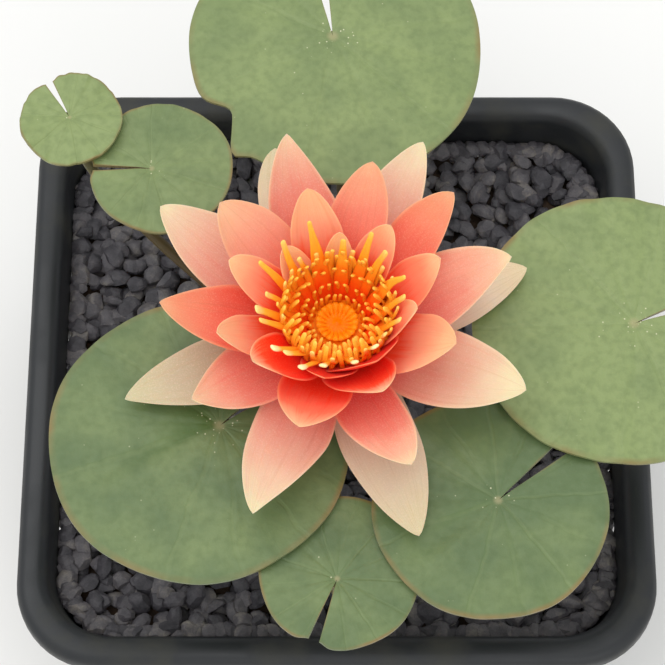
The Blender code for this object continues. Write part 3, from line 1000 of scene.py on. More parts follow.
# the fifth value, blush, is painted shade on the sepals: the higher it is, the duller and darker the
# sepal is painted
SEPALS = (
    Petal(197.7, 62.1, 0.0, 21.0, 0.95, left=0.9, left_point=0.15),
    Petal(106.6, 63.0, 0.0, 21.0, 0.5, left_point=-0.2),
    Petal(290.7, 63.2, 0.0, 21.5, 0.45),
    Petal(21.8, 58.4, 0.0, 21.0, 0.0),
)
WHORLS = {
    "a": Whorl(seat=0.8, claw=3.0, belly=0.5, tip=0.8, cup=0.24),
    "b": Whorl(seat=2.5, claw=3.0, belly=0.52, tip=0.75, cup=0.26),
    "c": Whorl(seat=4.2, claw=2.7, belly=0.54, tip=0.7, cup=0.26),
    "d": Whorl(seat=5.9, claw=2.2, belly=0.56, tip=0.62, cup=0.28),
    "e": Whorl(seat=7.6, claw=2.0, belly=0.56, tip=0.6, cup=0.24),
}
PETALS = {
    "a": (
        Petal(65.1, 58.2, 18.0, 20.0, 0.0, sag=1.5, swing=6.0, right=0.78),
        Petal(146.9, 59.2, 18.0, 21.0, 0.0, sag=1.5, left=1.06, delay=0.05),
        Petal(248.4, 61.3, 12.0, 22.0, 0.0, sag=1.5, left=0.95, left_point=0.4, delay=-0.05),
        Petal(336.6, 56.2, 15.0, 23.0, 0.05, sag=1.5, right=1.06, delay=-0.1),
    ),
    "b": (
        Petal(15.8, 50.0, 24.0, 20.5, 0.5, sag=3.0, left=1.12, right_point=0.35),
        Petal(105.4, 53.0, 26.0, 20.5, 0.55, sag=3.0, right=0.95, right_point=0.3, delay=0.1),
        Petal(212.0, 46.8, 14.0, 20.0, 0.72, sag=1.5, curl=1.0, right_point=0.25),
        Petal(293.0, 50.7, 22.0, 21.0, 0.8, sag=2.0, swing=-8.0, left=0.74),
    ),
    "c": (
        Petal(
            43.4, 44.4, 29.0, 16.5, 0.9, sag=3.5, swing=-8.0, roll=-4.0, curl=1.4,
            left=1.22, right=0.74, rosy=True,
        ),
        Petal(76.3, 41.8, 29.0, 17.0, 0.6, sag=1.0, swing=7.0, roll=-6.0, rosy=True),
        Petal(139.2, 42.7, 29.0, 20.0, 0.15, sag=1.0, swing=-6.0, rosy=True),
        Petal(181.0, 48.4, 26.0, 20.0, 0.95, sag=3.0, swing=2.0, roll=3.0, right_point=0.3, rosy=True),
        Petal(255.3, 39.6, 28.0, 20.0, 0.65, sag=2.0),
        # c6's negative delay also paints light on its tip, where shade falls on it
        Petal(336.2, 35.0, 28.0, 20.0, 0.0, sag=3.0, delay=-0.12),
    ),
    "d": (
        Petal(20.3, 30.0, 30.0, 14.0, 0.4, sag=2.5, swing=-1.0, roll=3.0),
        Petal(53.0, 24.3, 32.0, 12.0, 0.2, sag=0.2, swing=5.0, roll=-9.0),
        Petal(105.0, 31.8, 32.0, 15.0, 0.0, sag=3.0),
        Petal(162.5, 30.9, 31.0, 13.0, 0.2, sag=0.5, swing=-6.0),
        Petal(199.3, 34.4, 29.0, 14.0, 0.05, sag=4.0, swing=-6.0),
        Petal(221.7, 30.4, 30.0, 14.0, 1.0, sag=0.2, swing=10.0, roll=-9.0, left=1.42, delay=0.03),
        Petal(293.0, 31.0, 29.0, 16.0, 1.0, sag=2.0, right=1.45),
        Petal(345.3, 22.3, 32.0, 12.0, 0.42, sag=2.0, swing=-4.0, roll=8.0),
    ),
    "e": (
        Petal(262.2, 24.1, 27.0, 16.0, 1.0, sag=2.5, lift=0.2, delay=0.2),
        Petal(299.0, 21.9, 27.5, 22.0, 1.0, sag=2.8, lift=0.1, delay=0.2, companion=True),
        Petal(88.0, 20.2, 26.0, 8.5, 0.0, sag=1.0, swing=2.0, lift=0.3, delay=-0.15),
        Petal(133.0, 21.5, 26.0, 10.0, 0.0, sag=1.0, lift=0.3, delay=-0.15),
    ),
}


@dataclass(frozen=True)
class PetalForm:
    """The surface of one petal, along the middle of its thickness."""

    whorl: Whorl
    petal: Petal
    seed: float
    seat_radius: float = 8.9
    start: float = -0.03

    def half_width(self, share: float, on_left: bool) -> float:
        """Gives the width of the petal's left or right half.

        Args:
            share: Share of the petal's length, from 0 to 1.
            on_left: Whether it is the left half.

        Returns:
            The width.
        """
        whorl, petal = self.whorl, self.petal
        rest = 1 - share
        narrow = 1 - whorl.belly
        swell = whorl.tip * whorl.belly / narrow
        widest = whorl.belly**swell * narrow**whorl.tip
        point = petal.left_point if on_left else petal.right_point
        side = petal.left if on_left else petal.right
        drawn = min(rest / narrow, 1.0) ** point if share < 1 else 0.0
        blade = share**swell * rest**whorl.tip / widest * side * drawn
        return petal.width / 2 * blade + whorl.claw * rest**4

    def spine(self, along: float) -> tuple[Vector, float]:
        """Gives the middle line.

        Args:
            along: Share of the petal's length.

        Returns:
            The point, and the level angle in degrees in which it lies.
        """
        petal = self.petal
        seat = self.whorl.seat + petal.lift
        turn = petal.angle + petal.swing * (1 - along) ** 2
        out = self.seat_radius + (petal.reach - self.seat_radius) * along
        height = seat + (petal.rise - seat) * along - petal.sag * 4 * along * (1 - along)
        height += petal.curl * smoothstep(0.8, 1.0, along)
        return towards(turn) * out + UP * height, turn

    def point(self, across: float, along: float) -> Vector:
        """Gives a point of the surface.

        Args:
            across: From -1 to 1 over the petal's width.
            along: Share of the petal's length.

        Returns:
            The point, counted from the flower's centre.
        """
        place, turn = self.spine(along)
        forward = (self.spine(along + 0.01)[0] - self.spine(along - 0.01)[0]).normalized()
        side = towards(turn + 90.0)
        side = (side - forward * side.dot(forward)).normalized()
        upward = forward.cross(side)
        share = min(max(along, 0.0), 1.0)
        mid = math.sin(math.pi * share)
        lean = math.radians(self.petal.roll) * mid
        leaned_side = side * math.cos(lean) + upward * math.sin(lean)
        leaned_up = upward * math.cos(lean) - side * math.sin(lean)
        ripple = math.sin(9.0 * along + self.seed + 2.0 * across)
        ripple += 0.6 * math.sin(17.0 * along + 2.3 * self.seed - across)
        half = self.half_width(share, across > 0) * (1 + 0.014 * ripple * abs(across))
        # a hollow over the width, a furrow down the middle, a wavy edge and faint pleats
        lift = self.whorl.cup * half * across**2
        lift -= 0.28 * mid * bell(across, 0.11)
        lift += 0.2 * mid * ripple * abs(across) ** 3
        lift += 0.05 * mid * math.cos(15 * across)
        return place + leaned_side * across * half + leaned_up * lift


@dataclass(frozen=True)
class Corolla:
    """Four sepals and the petals of five whorls."""

    thickness: float = 0.6
    thin: float = 0.42
    across: int = 14
    along: int = 26

    def build_petal(self, name: str, form: PetalForm) -> Piece:
        """Bends a grid to a petal's surface and gives it a thickness that thins outwards.

        Args:
            name: The piece's name.
            form: The petal's surface.

        Returns:
            The petal.
        """
        sheet = grid_sheet(name, self.across, self.along)
        body = sheet.vertex_groups.new(name="body")
        for vertex in sheet.data.vertices:
            across, share = vertex.co.x, (vertex.co.y + 1) / 2
            body.add([vertex.index], (1 - across**4) * (1 - share**3), "REPLACE")

        def shape(place: Vector) -> Vector:
            """Gives a vertex its place on the petal."""
            along = form.start + (1 - form.start) * (place.y + 1) / 2
            return FLOWER + form.point(place.x, min(along, 1.0))

        reshape(sheet, shape)
        merge_doubles(sheet, 0.05)
        thinned = {"vertex_group": "body", "thickness_vertex_group": self.thin}
        thicken(sheet, self.thickness, 0.0, material_offset=1, **thinned)
        apply_modifier(sheet, "SUBSURF", levels=1, render_levels=1)
        sheet.vertex_groups.clear()
        smooth(sheet, 60.0)
        mark(sheet, blush=form.petal.blush, grain=form.seed, delay=form.petal.delay)
        return sheet

    def make(self) -> None:
        """Builds, dresses and declares every sepal and petal."""
        for number, sepal in enumerate(SEPALS, 1):
            form = PetalForm(SEPAL_WHORL, sepal, 1.7 * number)
            piece = self.build_petal(f"sepal_blade_{number}", form)
            node = f"sepal_{number}"
            hand_over(piece, "sepal_cream", [node], Finishes.SEPAL, Finishes.SEPAL_BACK)
        for letter, row in PETALS.items():
            outer = letter in "ab"
            slot = "outer_petal_peach" if outer else "inner_petal_coral"
            number = 0
            for at, petal in enumerate(row):
                form = PetalForm(WHORLS[letter], petal, 2.3 * at + ord(letter))
                number += not petal.companion
                name = f"petal_blade_{letter}{number}" + "_companion" * petal.companion
                piece = self.build_petal(name, form)
                face = Finishes.PEACH if outer else Finishes.CORAL
                face = Finishes.ROSE if petal.rosy else face
                hand_over(piece, slot, [f"petal_{letter}{number}"], face, Finishes.PETAL_BACK)


# Flower's middle


@dataclass(frozen=True)
class Stamen:
    """One stamen: its foot, its belly, where it bows out farthest, its tip, and its widths.

    Each place is an angle, a distance from the axis and a height. The knob swells the tip and
    the hook bends it aside.
    """

    angle: float
    reach: float
    rise: float
    foot: float
    belly: float
    belly_rise: float
    wide: float
    narrow: float
    skew: float
    knob: float
    hook: float

    @property
    def length(self) -> float:
        """Roughly how long the stamen is."""
        rise = self.rise - BARREL_TOP
        return math.hypot(self.reach - self.foot, rise) + 0.3 * abs(self.belly - self.foot)


@dataclass(frozen=True)
class Ring:
    """A ring of stamens that curve in over the dish, higher at the back.

    Reach and rise are the least and the greatest distance from the axis and height of a tip,
    and belly is the distance and height where the stamens bow out farthest. Back rise is how
    much higher the ones at the back stand, and point is a tip's width as a share of theirs.
    """

    count: int
    turn: float
    reach: Pair
    rise: Pair
    foot: float
    belly: Pair
    width: float
    back_rise: float = 1.0
    point: float = 0.86

    def stamens(self, chance: random.Random) -> list[Stamen]:
        """Lays out the ring.

        Args:
            chance: Source of the small differences.

        Returns:
            The stamens.
        """
        stamens = []
        for step in range(self.count):
            angle = self.turn + step * 360 / self.count + chance.uniform(-2.4, 2.4)
            back = math.sin(math.radians(angle))
            stamen = Stamen(
                angle,
                reach=chance.uniform(*self.reach),
                rise=chance.uniform(*self.rise) + self.back_rise * back,
                foot=self.foot,
                belly=self.belly[0] - 0.9 * back + chance.uniform(-0.3, 0.3),
                belly_rise=self.belly[1] + chance.uniform(-0.4, 0.4),
                wide=self.width + chance.uniform(-0.1, 0.25),
                narrow=self.point * self.width,
                skew=chance.uniform(-4, 4),
                knob=chance.uniform(0.0, 0.2),
                hook=chance.uniform(-0.6, 0.6),
            )
            stamens.append(stamen)
        return stamens


# The broad outer stamens: angle, reach and rise of the tip, width at foot and end, knob, hook
# and skew
OUTER_STAMENS = (
    (110.6, 20.9, 34.4, 5.6, 1.4, 0.0, 0.3, 0.0),
    (135.9, 21.2, 31.2, 3.6, 1.7, 0.1, -0.5, 3.0),
    (154.8, 23.1, 30.3, 3.9, 1.6, 0.0, 0.6, -2.0),
    (62.0, 19.6, 32.2, 4.3, 1.6, 0.0, -0.3, 0.0),
    (44.9, 17.9, 31.2, 3.7, 1.7, 0.1, -0.9, 3.0),
    (18.4, 18.7, 31.8, 5.0, 1.5, 0.0, -1.9, 8.0),
    (1.3, 18.3, 30.2, 3.7, 1.7, 0.1, -1.3, -4.0),
    (339.0, 18.6, 29.4, 3.5, 1.6, 0.15, -0.7, -6.0),
    (174.7, 19.3, 28.6, 2.7, 1.5, 0.15, 1.2, -5.0),
    (188.4, 22.4, 28.6, 3.5, 2.2, 0.3, 0.6, -3.0),
    (197.6, 22.1, 28.2, 3.4, 1.6, 0.1, 0.4, 4.0),
    (219.3, 23.2, 27.8, 2.9, 1.6, 0.6, 0.5, 14.0),
    (229.2, 21.7, 27.5, 3.1, 1.9, 0.3, 0.0, 12.0),
    (242.8, 23.2, 27.7, 2.6, 1.4, 0.65, 0.6, 16.0),
    (258.8, 20.4, 26.8, 2.8, 1.6, 0.6, 0.0, 6.0),
    (284.7, 19.7, 27.0, 2.8, 1.5, 0.6, 0.0, -6.0),
    (306.8, 18.2, 28.2, 3.1, 1.6, 0.6, -0.4, -10.0),
    (84.0, 16.5, 29.4, 4.6, 1.8, 0.0, 0.0, 0.0),
    (322.0, 17.0, 27.5, 2.8, 1.6, 0.2, -0.5, 0.0),
)
RINGS = {
    "outer": (Ring(21, 8.0, (15.0, 16.8), (23.0, 25.4), 7.2, (14.0, 16.6), 3.0, point=0.45),),
    "middle": (
        Ring(27, 5.0, (12.2, 14.2), (24.0, 26.4), 7.1, (14.7, 15.8), 1.65),
        Ring(27, 9.4, (12.8, 14.8), (21.0, 23.6), 7.2, (14.7, 14.2), 1.6),
    ),
    "inner": (
        Ring(27, 0.5, (9.7, 11.3), (20.0, 22.4), 6.8, (13.7, 12.9), 1.55),
        Ring(23, 9.0, (7.4, 8.8), (15.6, 17.4), 6.4, (10.4, 12.0), 1.3, back_rise=2.0),
        Ring(23, 2.0, (6.7, 7.5), (12.6, 14.2), 6.3, (7.9, 11.4), 1.25),
    ),
}
CLUSTERS = {"outer": (1, 2, 3), "middle": (4, 5), "inner": (6, 7)}


@dataclass(frozen=True)
class Androecium:
    """All the stamens: broad outer ones, and six rings within them."""

    sides: int = 8
    cuts: tuple[float, ...] = (0.12, 0.26, 0.4, 0.54, 0.66, 0.76, 0.84, 0.9, 0.945, 0.975, 0.992)
    thick: float = 1.05
    outer_foot: float = 7.3
    seed: int = 11

    def template(self) -> Piece:
        """Models one straight stamen, a unit long, that every other is bent from.

        Returns:
            The stamen, with V along it.
        """
        start_clean()
        bpy.ops.mesh.primitive_cylinder_add(
            vertices=self.sides, radius=1.0, depth=1.0, location=(0.0, 0.0, 0.5)
        )
        straight = bpy.context.object
        bpy.ops.object.transform_apply(location=True)
        pick(straight)
        bpy.ops.object.mode_set(mode="EDIT")
        for height in self.cuts:
            bpy.ops.mesh.select_all(action="SELECT")
            bpy.ops.mesh.bisect(plane_co=UP * height, plane_no=UP)
        bpy.ops.mesh.select_all(action="DESELECT")
        bpy.ops.object.mode_set(mode="OBJECT")
        layer = straight.data.uv_layers.active
        layer.name = "UVMap"
        for loop in straight.data.loops:
            corner = straight.data.vertices[loop.vertex_index].co
            share = math.atan2(corner.y, corner.x) / (2 * math.pi) + 0.5
            layer.data[loop.index].uv = (share, corner.z)
        return straight

    def bend(self, straight: Piece, name: str, stamen: Stamen) -> Piece:
        """Copies the straight stamen and bends it to its place.

        Args:
            straight: The straight stamen.
            name: The copy's name.
            stamen: Its place and sizes.

        Returns:
            The bent stamen.
        """
        out = towards(stamen.angle)
        across = towards(stamen.angle + 90.0)
        foot = towards(stamen.angle + stamen.skew) * stamen.foot + UP * (BARREL_TOP - 1.3)
        tip = out * stamen.reach + UP * stamen.rise
        belly = towards(stamen.angle + stamen.skew / 2) * stamen.belly + UP * stamen.belly_rise
        control = belly * 2 - (foot + tip) / 2
        rounding = 0.5 * stamen.narrow / stamen.length

        def middle(share: float) -> Vector:
            """Gives a point of the stamen's middle line."""
            rest = 1 - share
            aside = across * (stamen.hook * smoothstep(0.68, 1.0, share))
            return foot * rest**2 + control * (2 * share * rest) + tip * share**2 + aside

        def shape(place: Vector) -> Vector:
            """Gives a vertex its place on the bent stamen."""
            share = min(max(place.z, 0.0), 1.0)
            forward = (middle(share + 0.02) - middle(share - 0.02)).normalized()
            side = (across - forward * across.dot(forward)).normalized()
            # it narrows from a third of its length on, and its knob is near the tip
            thin = smoothstep(0.3, 1.0, share)
            width = stamen.wide + (stamen.narrow - stamen.wide) * thin
            knob = stamen.knob * smoothstep(0.84, 0.93, share)
            from_end = max((share - 1 + rounding) / rounding, 0.0)
            end = max(math.sqrt(max(1.0 - from_end**2, 0.0)), 0.04)
            # a shallow channel down the inner face, between the two pollen sacs
            dent = 0.2 * bell(place.x, 0.4) * (place.y > 0)
            level = place.y * self.thick * (1 + 0.5 * knob) / 2 - dent
            aside = place.x * width / 2 * (1 + knob)
            return FLOWER + middle(share) + (side * aside + side.cross(forward) * level) * end

        bent = copy_piece(straight, name)
        reshape(bent, shape)
        return bent

    def lay_out(self, group: str, chance: random.Random) -> list[Stamen]:
        """Lays out one group of stamens.

        Args:
            group: The group's name.
            chance: Source of the small differences.

        Returns:
            The stamens.
        """
        stamens = []
        rows = OUTER_STAMENS if group == "outer" else ()
        for angle, reach, rise, wide, narrow, knob, hook, skew in rows:
            belly = 0.5 * (self.outer_foot + reach) + chance.uniform(0.2, 0.9)
            level = 0.5 * (BARREL_TOP + rise) - chance.uniform(0.6, 1.6)
            place = (angle, reach, rise, self.outer_foot, belly, level)
            stamens.append(Stamen(*place, wide, narrow, skew, knob, hook))
        for ring in RINGS[group]:
            stamens += ring.stamens(chance)
        return stamens

    def make(self) -> None:
        straight = self.template()
        chance = random.Random(self.seed)
        for group, clusters in CLUSTERS.items():
            outer = group == "outer"
            bent = []
            for number, stamen in enumerate(self.lay_out(group, chance), 1):
                piece = self.bend(straight, f"{group}_stamen_{number}", stamen)
                mark(piece, pale=stamen.knob if outer else 0.0)
                bent.append(piece)
            whole = join(bent, f"{group}_stamens")
            apply_modifier(whole, "SUBSURF", levels=1, render_levels=1)
            smooth(whole, 80.0)
            finish = Finishes.BROAD_STAMEN if outer else Finishes.STAMEN
            hand_over(whole, "stamen_orange", [f"stamens_{n}" for n in clusters], finish)
        discard(straight)


@dataclass(frozen=True)
class Pistil:
    """The receptacle, and on it the rayed stigma dish with its knob and its lobes."""

    rays: int = 19
    ray_steps: int = 6
    barrel_steps: int = 48
    # radius and height of the dish from its knob outwards and over the rim to its foot
    dish: tuple[Pair, ...] = (
        (0.01, 10.55), (0.5, 10.5), (0.9, 10.3), (1.3, 10.1), (2.0, 10.0),
        (2.8, 10.05), (3.3, 10.2), (3.9, 10.6), (4.5, 11.1), (5.05, 11.45),
        (5.5, 11.55), (5.8, 11.25), (5.4, 10.6), (4.9, 9.9), (4.3, 9.3),
    )
    # radius and height of the receptacle, from the stem upwards
    barrel: tuple[Pair, ...] = (
        (2.4, -2.45), (3.0, -2.2), (5.2, -1.9), (7.4, -1.2), (8.3, 0.0), (8.4, 3.0),
        (8.3, 6.0), (8.0, 8.6), (7.6, 9.4), (4.4, 9.6), (3.0, 9.6),
    )

    def lathe(self, name: str, profile: Sequence[Pair], steps: int) -> Piece:
        """Bends a grid round the flower's axis along a profile.

        Args:
            name: The piece's name.
            profile: Radius and height of each ring.
            steps: Vertices round each ring.

        Returns:
            The turned piece, with V along its profile.
        """
        last = len(profile) - 1
        sheet = grid_sheet(name, steps, last)

        def shape(place: Vector) -> Vector:
            """Gives a vertex its place on its ring."""
            at = min(max(round((place.y + 1) / 2 * last), 0), last)
            radius, height = profile[at]
            return FLOWER + towards((place.x + 1) * 180.0) * radius + UP * height

        reshape(sheet, shape)
        merge_doubles(sheet, 0.02, outward=True)
        return sheet

    def groove(self, place: Vector) -> Vector:
        """Draws the dish's skin down between its rays.

        Args:
            place: A place of the smooth dish, in metres.

        Returns:
            Its new place in millimetres.
        """
        local = place / MM - FLOWER
        radius = math.hypot(local.x, local.y)
        crest = abs(math.cos(self.rays * math.atan2(local.y, local.x) / 2)) ** 0.45
        inside = smoothstep(2.3, 3.4, radius) * (1 - smoothstep(5.6, 5.9, radius))
        deep = 0.65 * inside * (1 - crest) * smoothstep(9.8, 10.1, local.z)
        spread = 1 + 0.05 * smoothstep(4.7, 5.6, radius) * (crest - 0.5)
        return FLOWER + Vector((local.x * spread, local.y * spread, local.z - deep))

    def make(self) -> None:
        barrel = self.lathe("receptacle_barrel", self.barrel, self.barrel_steps)
        smooth(barrel, 50.0)
        hand_over(barrel, "receptacle_green", ["receptacle"], Finishes.RECEPTACLE)
        dish = self.lathe("stigma_dish", self.dish, self.rays * self.ray_steps)
        reshape(dish, self.groove)
        smooth(dish, 80.0)
        hand_over(dish, "stigma_orange", ["stigma_disc"], Finishes.STIGMA)


# Leaves and stems


@dataclass(frozen=True)
class Leaf:
    """A floating leaf: its stem's place, level, outline, wave, root end and colour.

    Fold is the direction of a crease in the blade, where there is one, and fold_shade is how
    strongly the painted shade along it darkens the green. Dents in the rim are given by
    direction, half angle and depth; where the rim juts out the depth is negative.
    """

    x: float
    y: float
    over: float
    radius: float
    offset: float
    slit: float
    wave: float
    root_angle: float
    root_lean: float
    tone: float
    ruffle: float = 0.12
    slit_half: float = 5.0
    fold: float | None = None
    fold_shade: float = 0.9
    dents: tuple[tuple[float, float, float], ...] = ()


LEAVES = (
    Leaf(-32.5, -44.0, 0.0, 42.0, 7.0, 37.0, 0.5, 225.0, 18.0, 0.25, fold=203.0),
    Leaf(-54.0, 36.5, 0.0, 21.0, 2.8, 180.0, 0.4, 120.0, 20.0, 0.55, slit_half=3.2),
    Leaf(
        -1.2, 81.1, 0.0, 43.5, 4.0, 100.0, 0.5, 75.0, 25.0, 0.8,
        dents=((285.0, 38.0, -2.4), (220.0, 8.0, 6.5), (234.0, 4.0, -3.4)),
    ),
    Leaf(84.0, -14.0, 2.4, 41.0, 5.0, 20.0, 0.6, 0.0, 25.0, 0.98, ruffle=0.3),
    Leaf(
        44.3, -66.1, 0.0, 32.5, 3.0, 40.0, 0.4, 312.0, 25.0, 0.1,
        ruffle=0.2, fold=214.0, fold_shade=0.15,
    ),
    Leaf(0.0, -88.0, -2.6, 22.0, 2.0, 250.0, 0.4, 268.0, 35.0, 0.2),
    Leaf(-78.3, 52.2, 2.4, 15.0, 1.0, 120.0, 0.8, 170.0, 35.0, 1.2, ruffle=0.25),
)


@dataclass(frozen=True)
class Foliage:
    """The floating leaves, their stems and the flower's stem."""

    spokes: int = 156
    rings: int = 20
    ribs: int = 13
    stem_radius: float = 1.7
    stem_ring: float = 6.6
    flower_stem_radius: float = 2.3
    stem_points: int = 36

    def leaf_point(self, leaf: Leaf, share: float, out: float) -> Vector:
        """Gives a point of a leaf's top.

        Args:
            leaf: The leaf.
            share: From 0 to 1 once round, from slit to slit.
            out: From 0 at the stem to 1 at the rim.

        Returns:
            The point.
        """
        slit, half_slit = math.radians(leaf.slit), math.radians(leaf.slit_half)
        turn = slit + half_slit + share * 2 * (math.pi - half_slit)
        angle = math.degrees(turn)
        rim = math.sqrt(leaf.radius**2 - (leaf.offset * math.sin(turn - slit)) ** 2)
        reach = rim - leaf.offset * math.cos(turn - slit)
        # the lobes beside the slit have rounded corners, and the rim isn't a true circle
        corner = bell(min(share, 1 - share), 0.018)
        reach *= 1 - 0.07 * corner * out + 0.006 * math.sin(7 * turn + leaf.y)
        for middle, half_angle, depth in leaf.dents:
            reach -= depth * bell((angle - middle + 180) % 360 - 180, half_angle)
        distance = reach * out
        height = LEAF_LEVEL + leaf.over - 0.7 * bell(distance, 2.5)
        # waves of the whole blade, and ripples that grow towards its rim
        waves = ((leaf.wave, 3, 2, leaf.x), (0.6 * leaf.wave, 5, 2, leaf.y))
        ripples = ((leaf.ruffle, 19, 6, leaf.x), (0.6 * leaf.ruffle, 31, 9, leaf.y))
        for size, count, power, start in waves + ripples:
            height += size * math.sin(count * turn + start) * out**power
        mid = math.sin(math.pi * min(out, 1.0))
        height -= 0.18 * abs(math.cos(self.ribs * math.pi * share)) ** 8 * mid
        if leaf.fold is not None:
            away = (angle - leaf.fold + 180) % 360 - 180
            bend = distance * math.sin(math.radians(max(min(away, 90), -90)))
            height -= 0.9 * bell(bend, 3.0) * mid
        return Vector((leaf.x, leaf.y, height)) + towards(angle) * distance

    def build_leaf(self, name: str, leaf: Leaf) -> Piece:
        """Bends a grid round the stem to a slit blade, and gives it its thickness.

        Args:
            name: The piece's name.
            leaf: The leaf.

        Returns:
            The leaf's blade.
        """
        sheet = grid_sheet(name, self.spokes, self.rings)
        reshape(sheet, lambda p: self.leaf_point(leaf, (p.x + 1) / 2, (p.y + 1) / 2))
        merge_doubles(sheet, 0.02)
        edit_all(sheet, bpy.ops.mesh.flip_normals)
        # fold holds the share of painted shade along the crease, nothing where the leaf has no fold
        mark(sheet, tone=leaf.tone, fold=0.0)
        if leaf.fold is not None:
            layer = sheet.data.attributes["fold"]
            for vertex in sheet.data.vertices:
                spot = vertex.co / MM - Vector((leaf.x, leaf.y, 0.0))
                layer.data[vertex.index].value = self.fold_share(leaf, spot)
        thicken(sheet, LEAF_THICKNESS, -1.0, material_offset=1)
        self.raise_ribs(sheet, leaf)
        smooth(sheet, 50.0)
        return sheet

    def fold_share(self, leaf: Leaf, spot: Vector) -> float:
        """Tells how far the painted shade along the fold shows.

        Args:
            leaf: A leaf with a fold.
            spot: A place on it, counted from the stem.

        Returns:
            The share, from 0 to 1.
        """
        along = spot.dot(towards(leaf.fold))
        aside = spot.dot(towards(leaf.fold + 90.0))
        # painted shade: dark in a wedge that ends sharply on one side, and thins to the crease farther
        # out
        wedge = (1 - smoothstep(-0.4, 0.8, aside)) * bell(aside, 7.5)
        wedge *= smoothstep(0.5, 3.0, along) * (1 - smoothstep(8.0, 22.0, along))
        crease_shade = bell(aside, 1.2) * smoothstep(2.0, 8.0, along)
        crease_shade *= 0.6 * (1 - smoothstep(20.0, 34.0, along))
        return leaf.fold_shade * max(wedge, crease_shade)

    def raise_ribs(self, sheet: Piece, leaf: Leaf) -> None:
        """Raises the ribs under a leaf, strongest by the stem.

        Args:
            sheet: The leaf's blade with its thickness.
            leaf: The leaf.
        """
        slit = leaf.slit + leaf.slit_half
        span = 360 - 2 * leaf.slit_half
        for vertex in sheet.data.vertices:
            if vertex.normal.z > -0.5:
                continue
            spot = vertex.co / MM - Vector((leaf.x, leaf.y, 0.0))
            distance = math.hypot(spot.x, spot.y)
            share = ((math.degrees(math.atan2(spot.y, spot.x)) - slit) % 360) / span
            line = abs(math.cos(self.ribs * math.pi * share)) ** 10
            fade = smoothstep(1.0, 4.0, distance)
            fade *= 1 - smoothstep(0.5, 0.95, distance / leaf.radius)
            vertex.co.z -= 0.5 * line * fade * MM

    def make_stem(
        self, name: str, angle: float, lean: float, ring: float, end: Vector, radius: float
    ) -> Piece:
        """Draws one stem, thicker at its foot and flared under what it carries.

        It leaves the rootstock leaning out and ends upright.

        Args:
            name: The piece's name.
            angle: Where it stands on the rootstock.
            lean: How far it leans out there.
            ring: How far from the rootstock's axis.
            end: The top of the stem.
            radius: Its usual radius.

        Returns:
            The stem.
        """
        start = towards(angle) * ring + UP * (ROOT_TOP - 1.0)
        span = (end - start).length
        tilt = math.radians(lean)
        leaving = towards(angle) * math.sin(tilt) + UP * math.cos(tilt)
        below = end - UP * 3.4
        handles = (start, start + leaving * span * 0.35, below - UP * (span * 0.4), below)
        last = self.stem_points - 1
        route = [*(bezier(handles, step / (last - 1)) for step in range(last)), end]
        radii = []
        for share in (step / last for step in range(last + 1)):
            foot = 0.45 * (1 - smoothstep(0.0, 0.2, share))
            flare = 0.35 * smoothstep(0.93, 1.0, share)
            radii.append(radius * (1 + foot + flare + 0.02 * math.sin(40 * share + angle)))
        stem = tube(name, route, radii)
        smooth(stem, 50.0)
        return stem

    def make(self) -> None:
        for number, leaf in enumerate(LEAVES, 1):
            blade = self.build_leaf(f"leaf_blade_{number}", leaf)
            node = f"leaf_{number}"
            hand_over(blade, "leaf_green", [node], Finishes.LEAF_TOP, Finishes.LEAF_BACK)
            end = Vector((leaf.x, leaf.y, LEAF_LEVEL + leaf.over - LEAF_THICKNESS - 0.5))
            stand = (leaf.root_angle, leaf.root_lean, self.stem_ring)
            stem = self.make_stem(f"leaf_stalk_{number}", *stand, end, self.stem_radius)
            hand_over(stem, "leaf_stem_green", [f"leaf_stem_{number}"], Finishes.LEAF_STEM)
        end = FLOWER - UP * 2.2
        stalk = self.make_stem("flower_stalk", 270.0, 10.0, 0.0, end, self.flower_stem_radius)
        hand_over(stalk, "flower_stem_green", ["flower_stem"], Finishes.FLOWER_STEM)


# Basket and what fills it


def tub_half_width(height: float) -> float:
    """Half the outer width of the tapered basket at a height."""
    return TUB_FOOT + (TUB_RIM - TUB_FOOT) * height / TUB_HEIGHT


def rounded_square(half: float, corner: float, turn: float) -> Vector:
    """Point of a square with round corners, at a turn in degrees round its middle.

    Args:
        half: Half the square's width.
        corner: Radius of its corners.
        turn: From 0 to 360, a quarter for each corner and half a side on both its sides.

    Returns:
        The point in the level plane.
    """
    quarter, rest = divmod(turn, 90.0)
    straight = half - corner
    # this much of each quarter runs along half a side, at either end of it
    side = 30.0
    if rest < side:
        spot = Vector((half, straight * rest / side, 0.0))
    elif rest > 90.0 - side:
        spot = Vector((straight * (90.0 - rest) / side, half, 0.0))
    else:
        bend = (rest - side) / (90.0 - 2 * side) * 90.0
        spot = Vector((straight, straight, 0.0)) + towards(bend) * corner
    spot.rotate(Matrix.Rotation(math.radians(90.0 * quarter), 3, "Z"))
    return spot


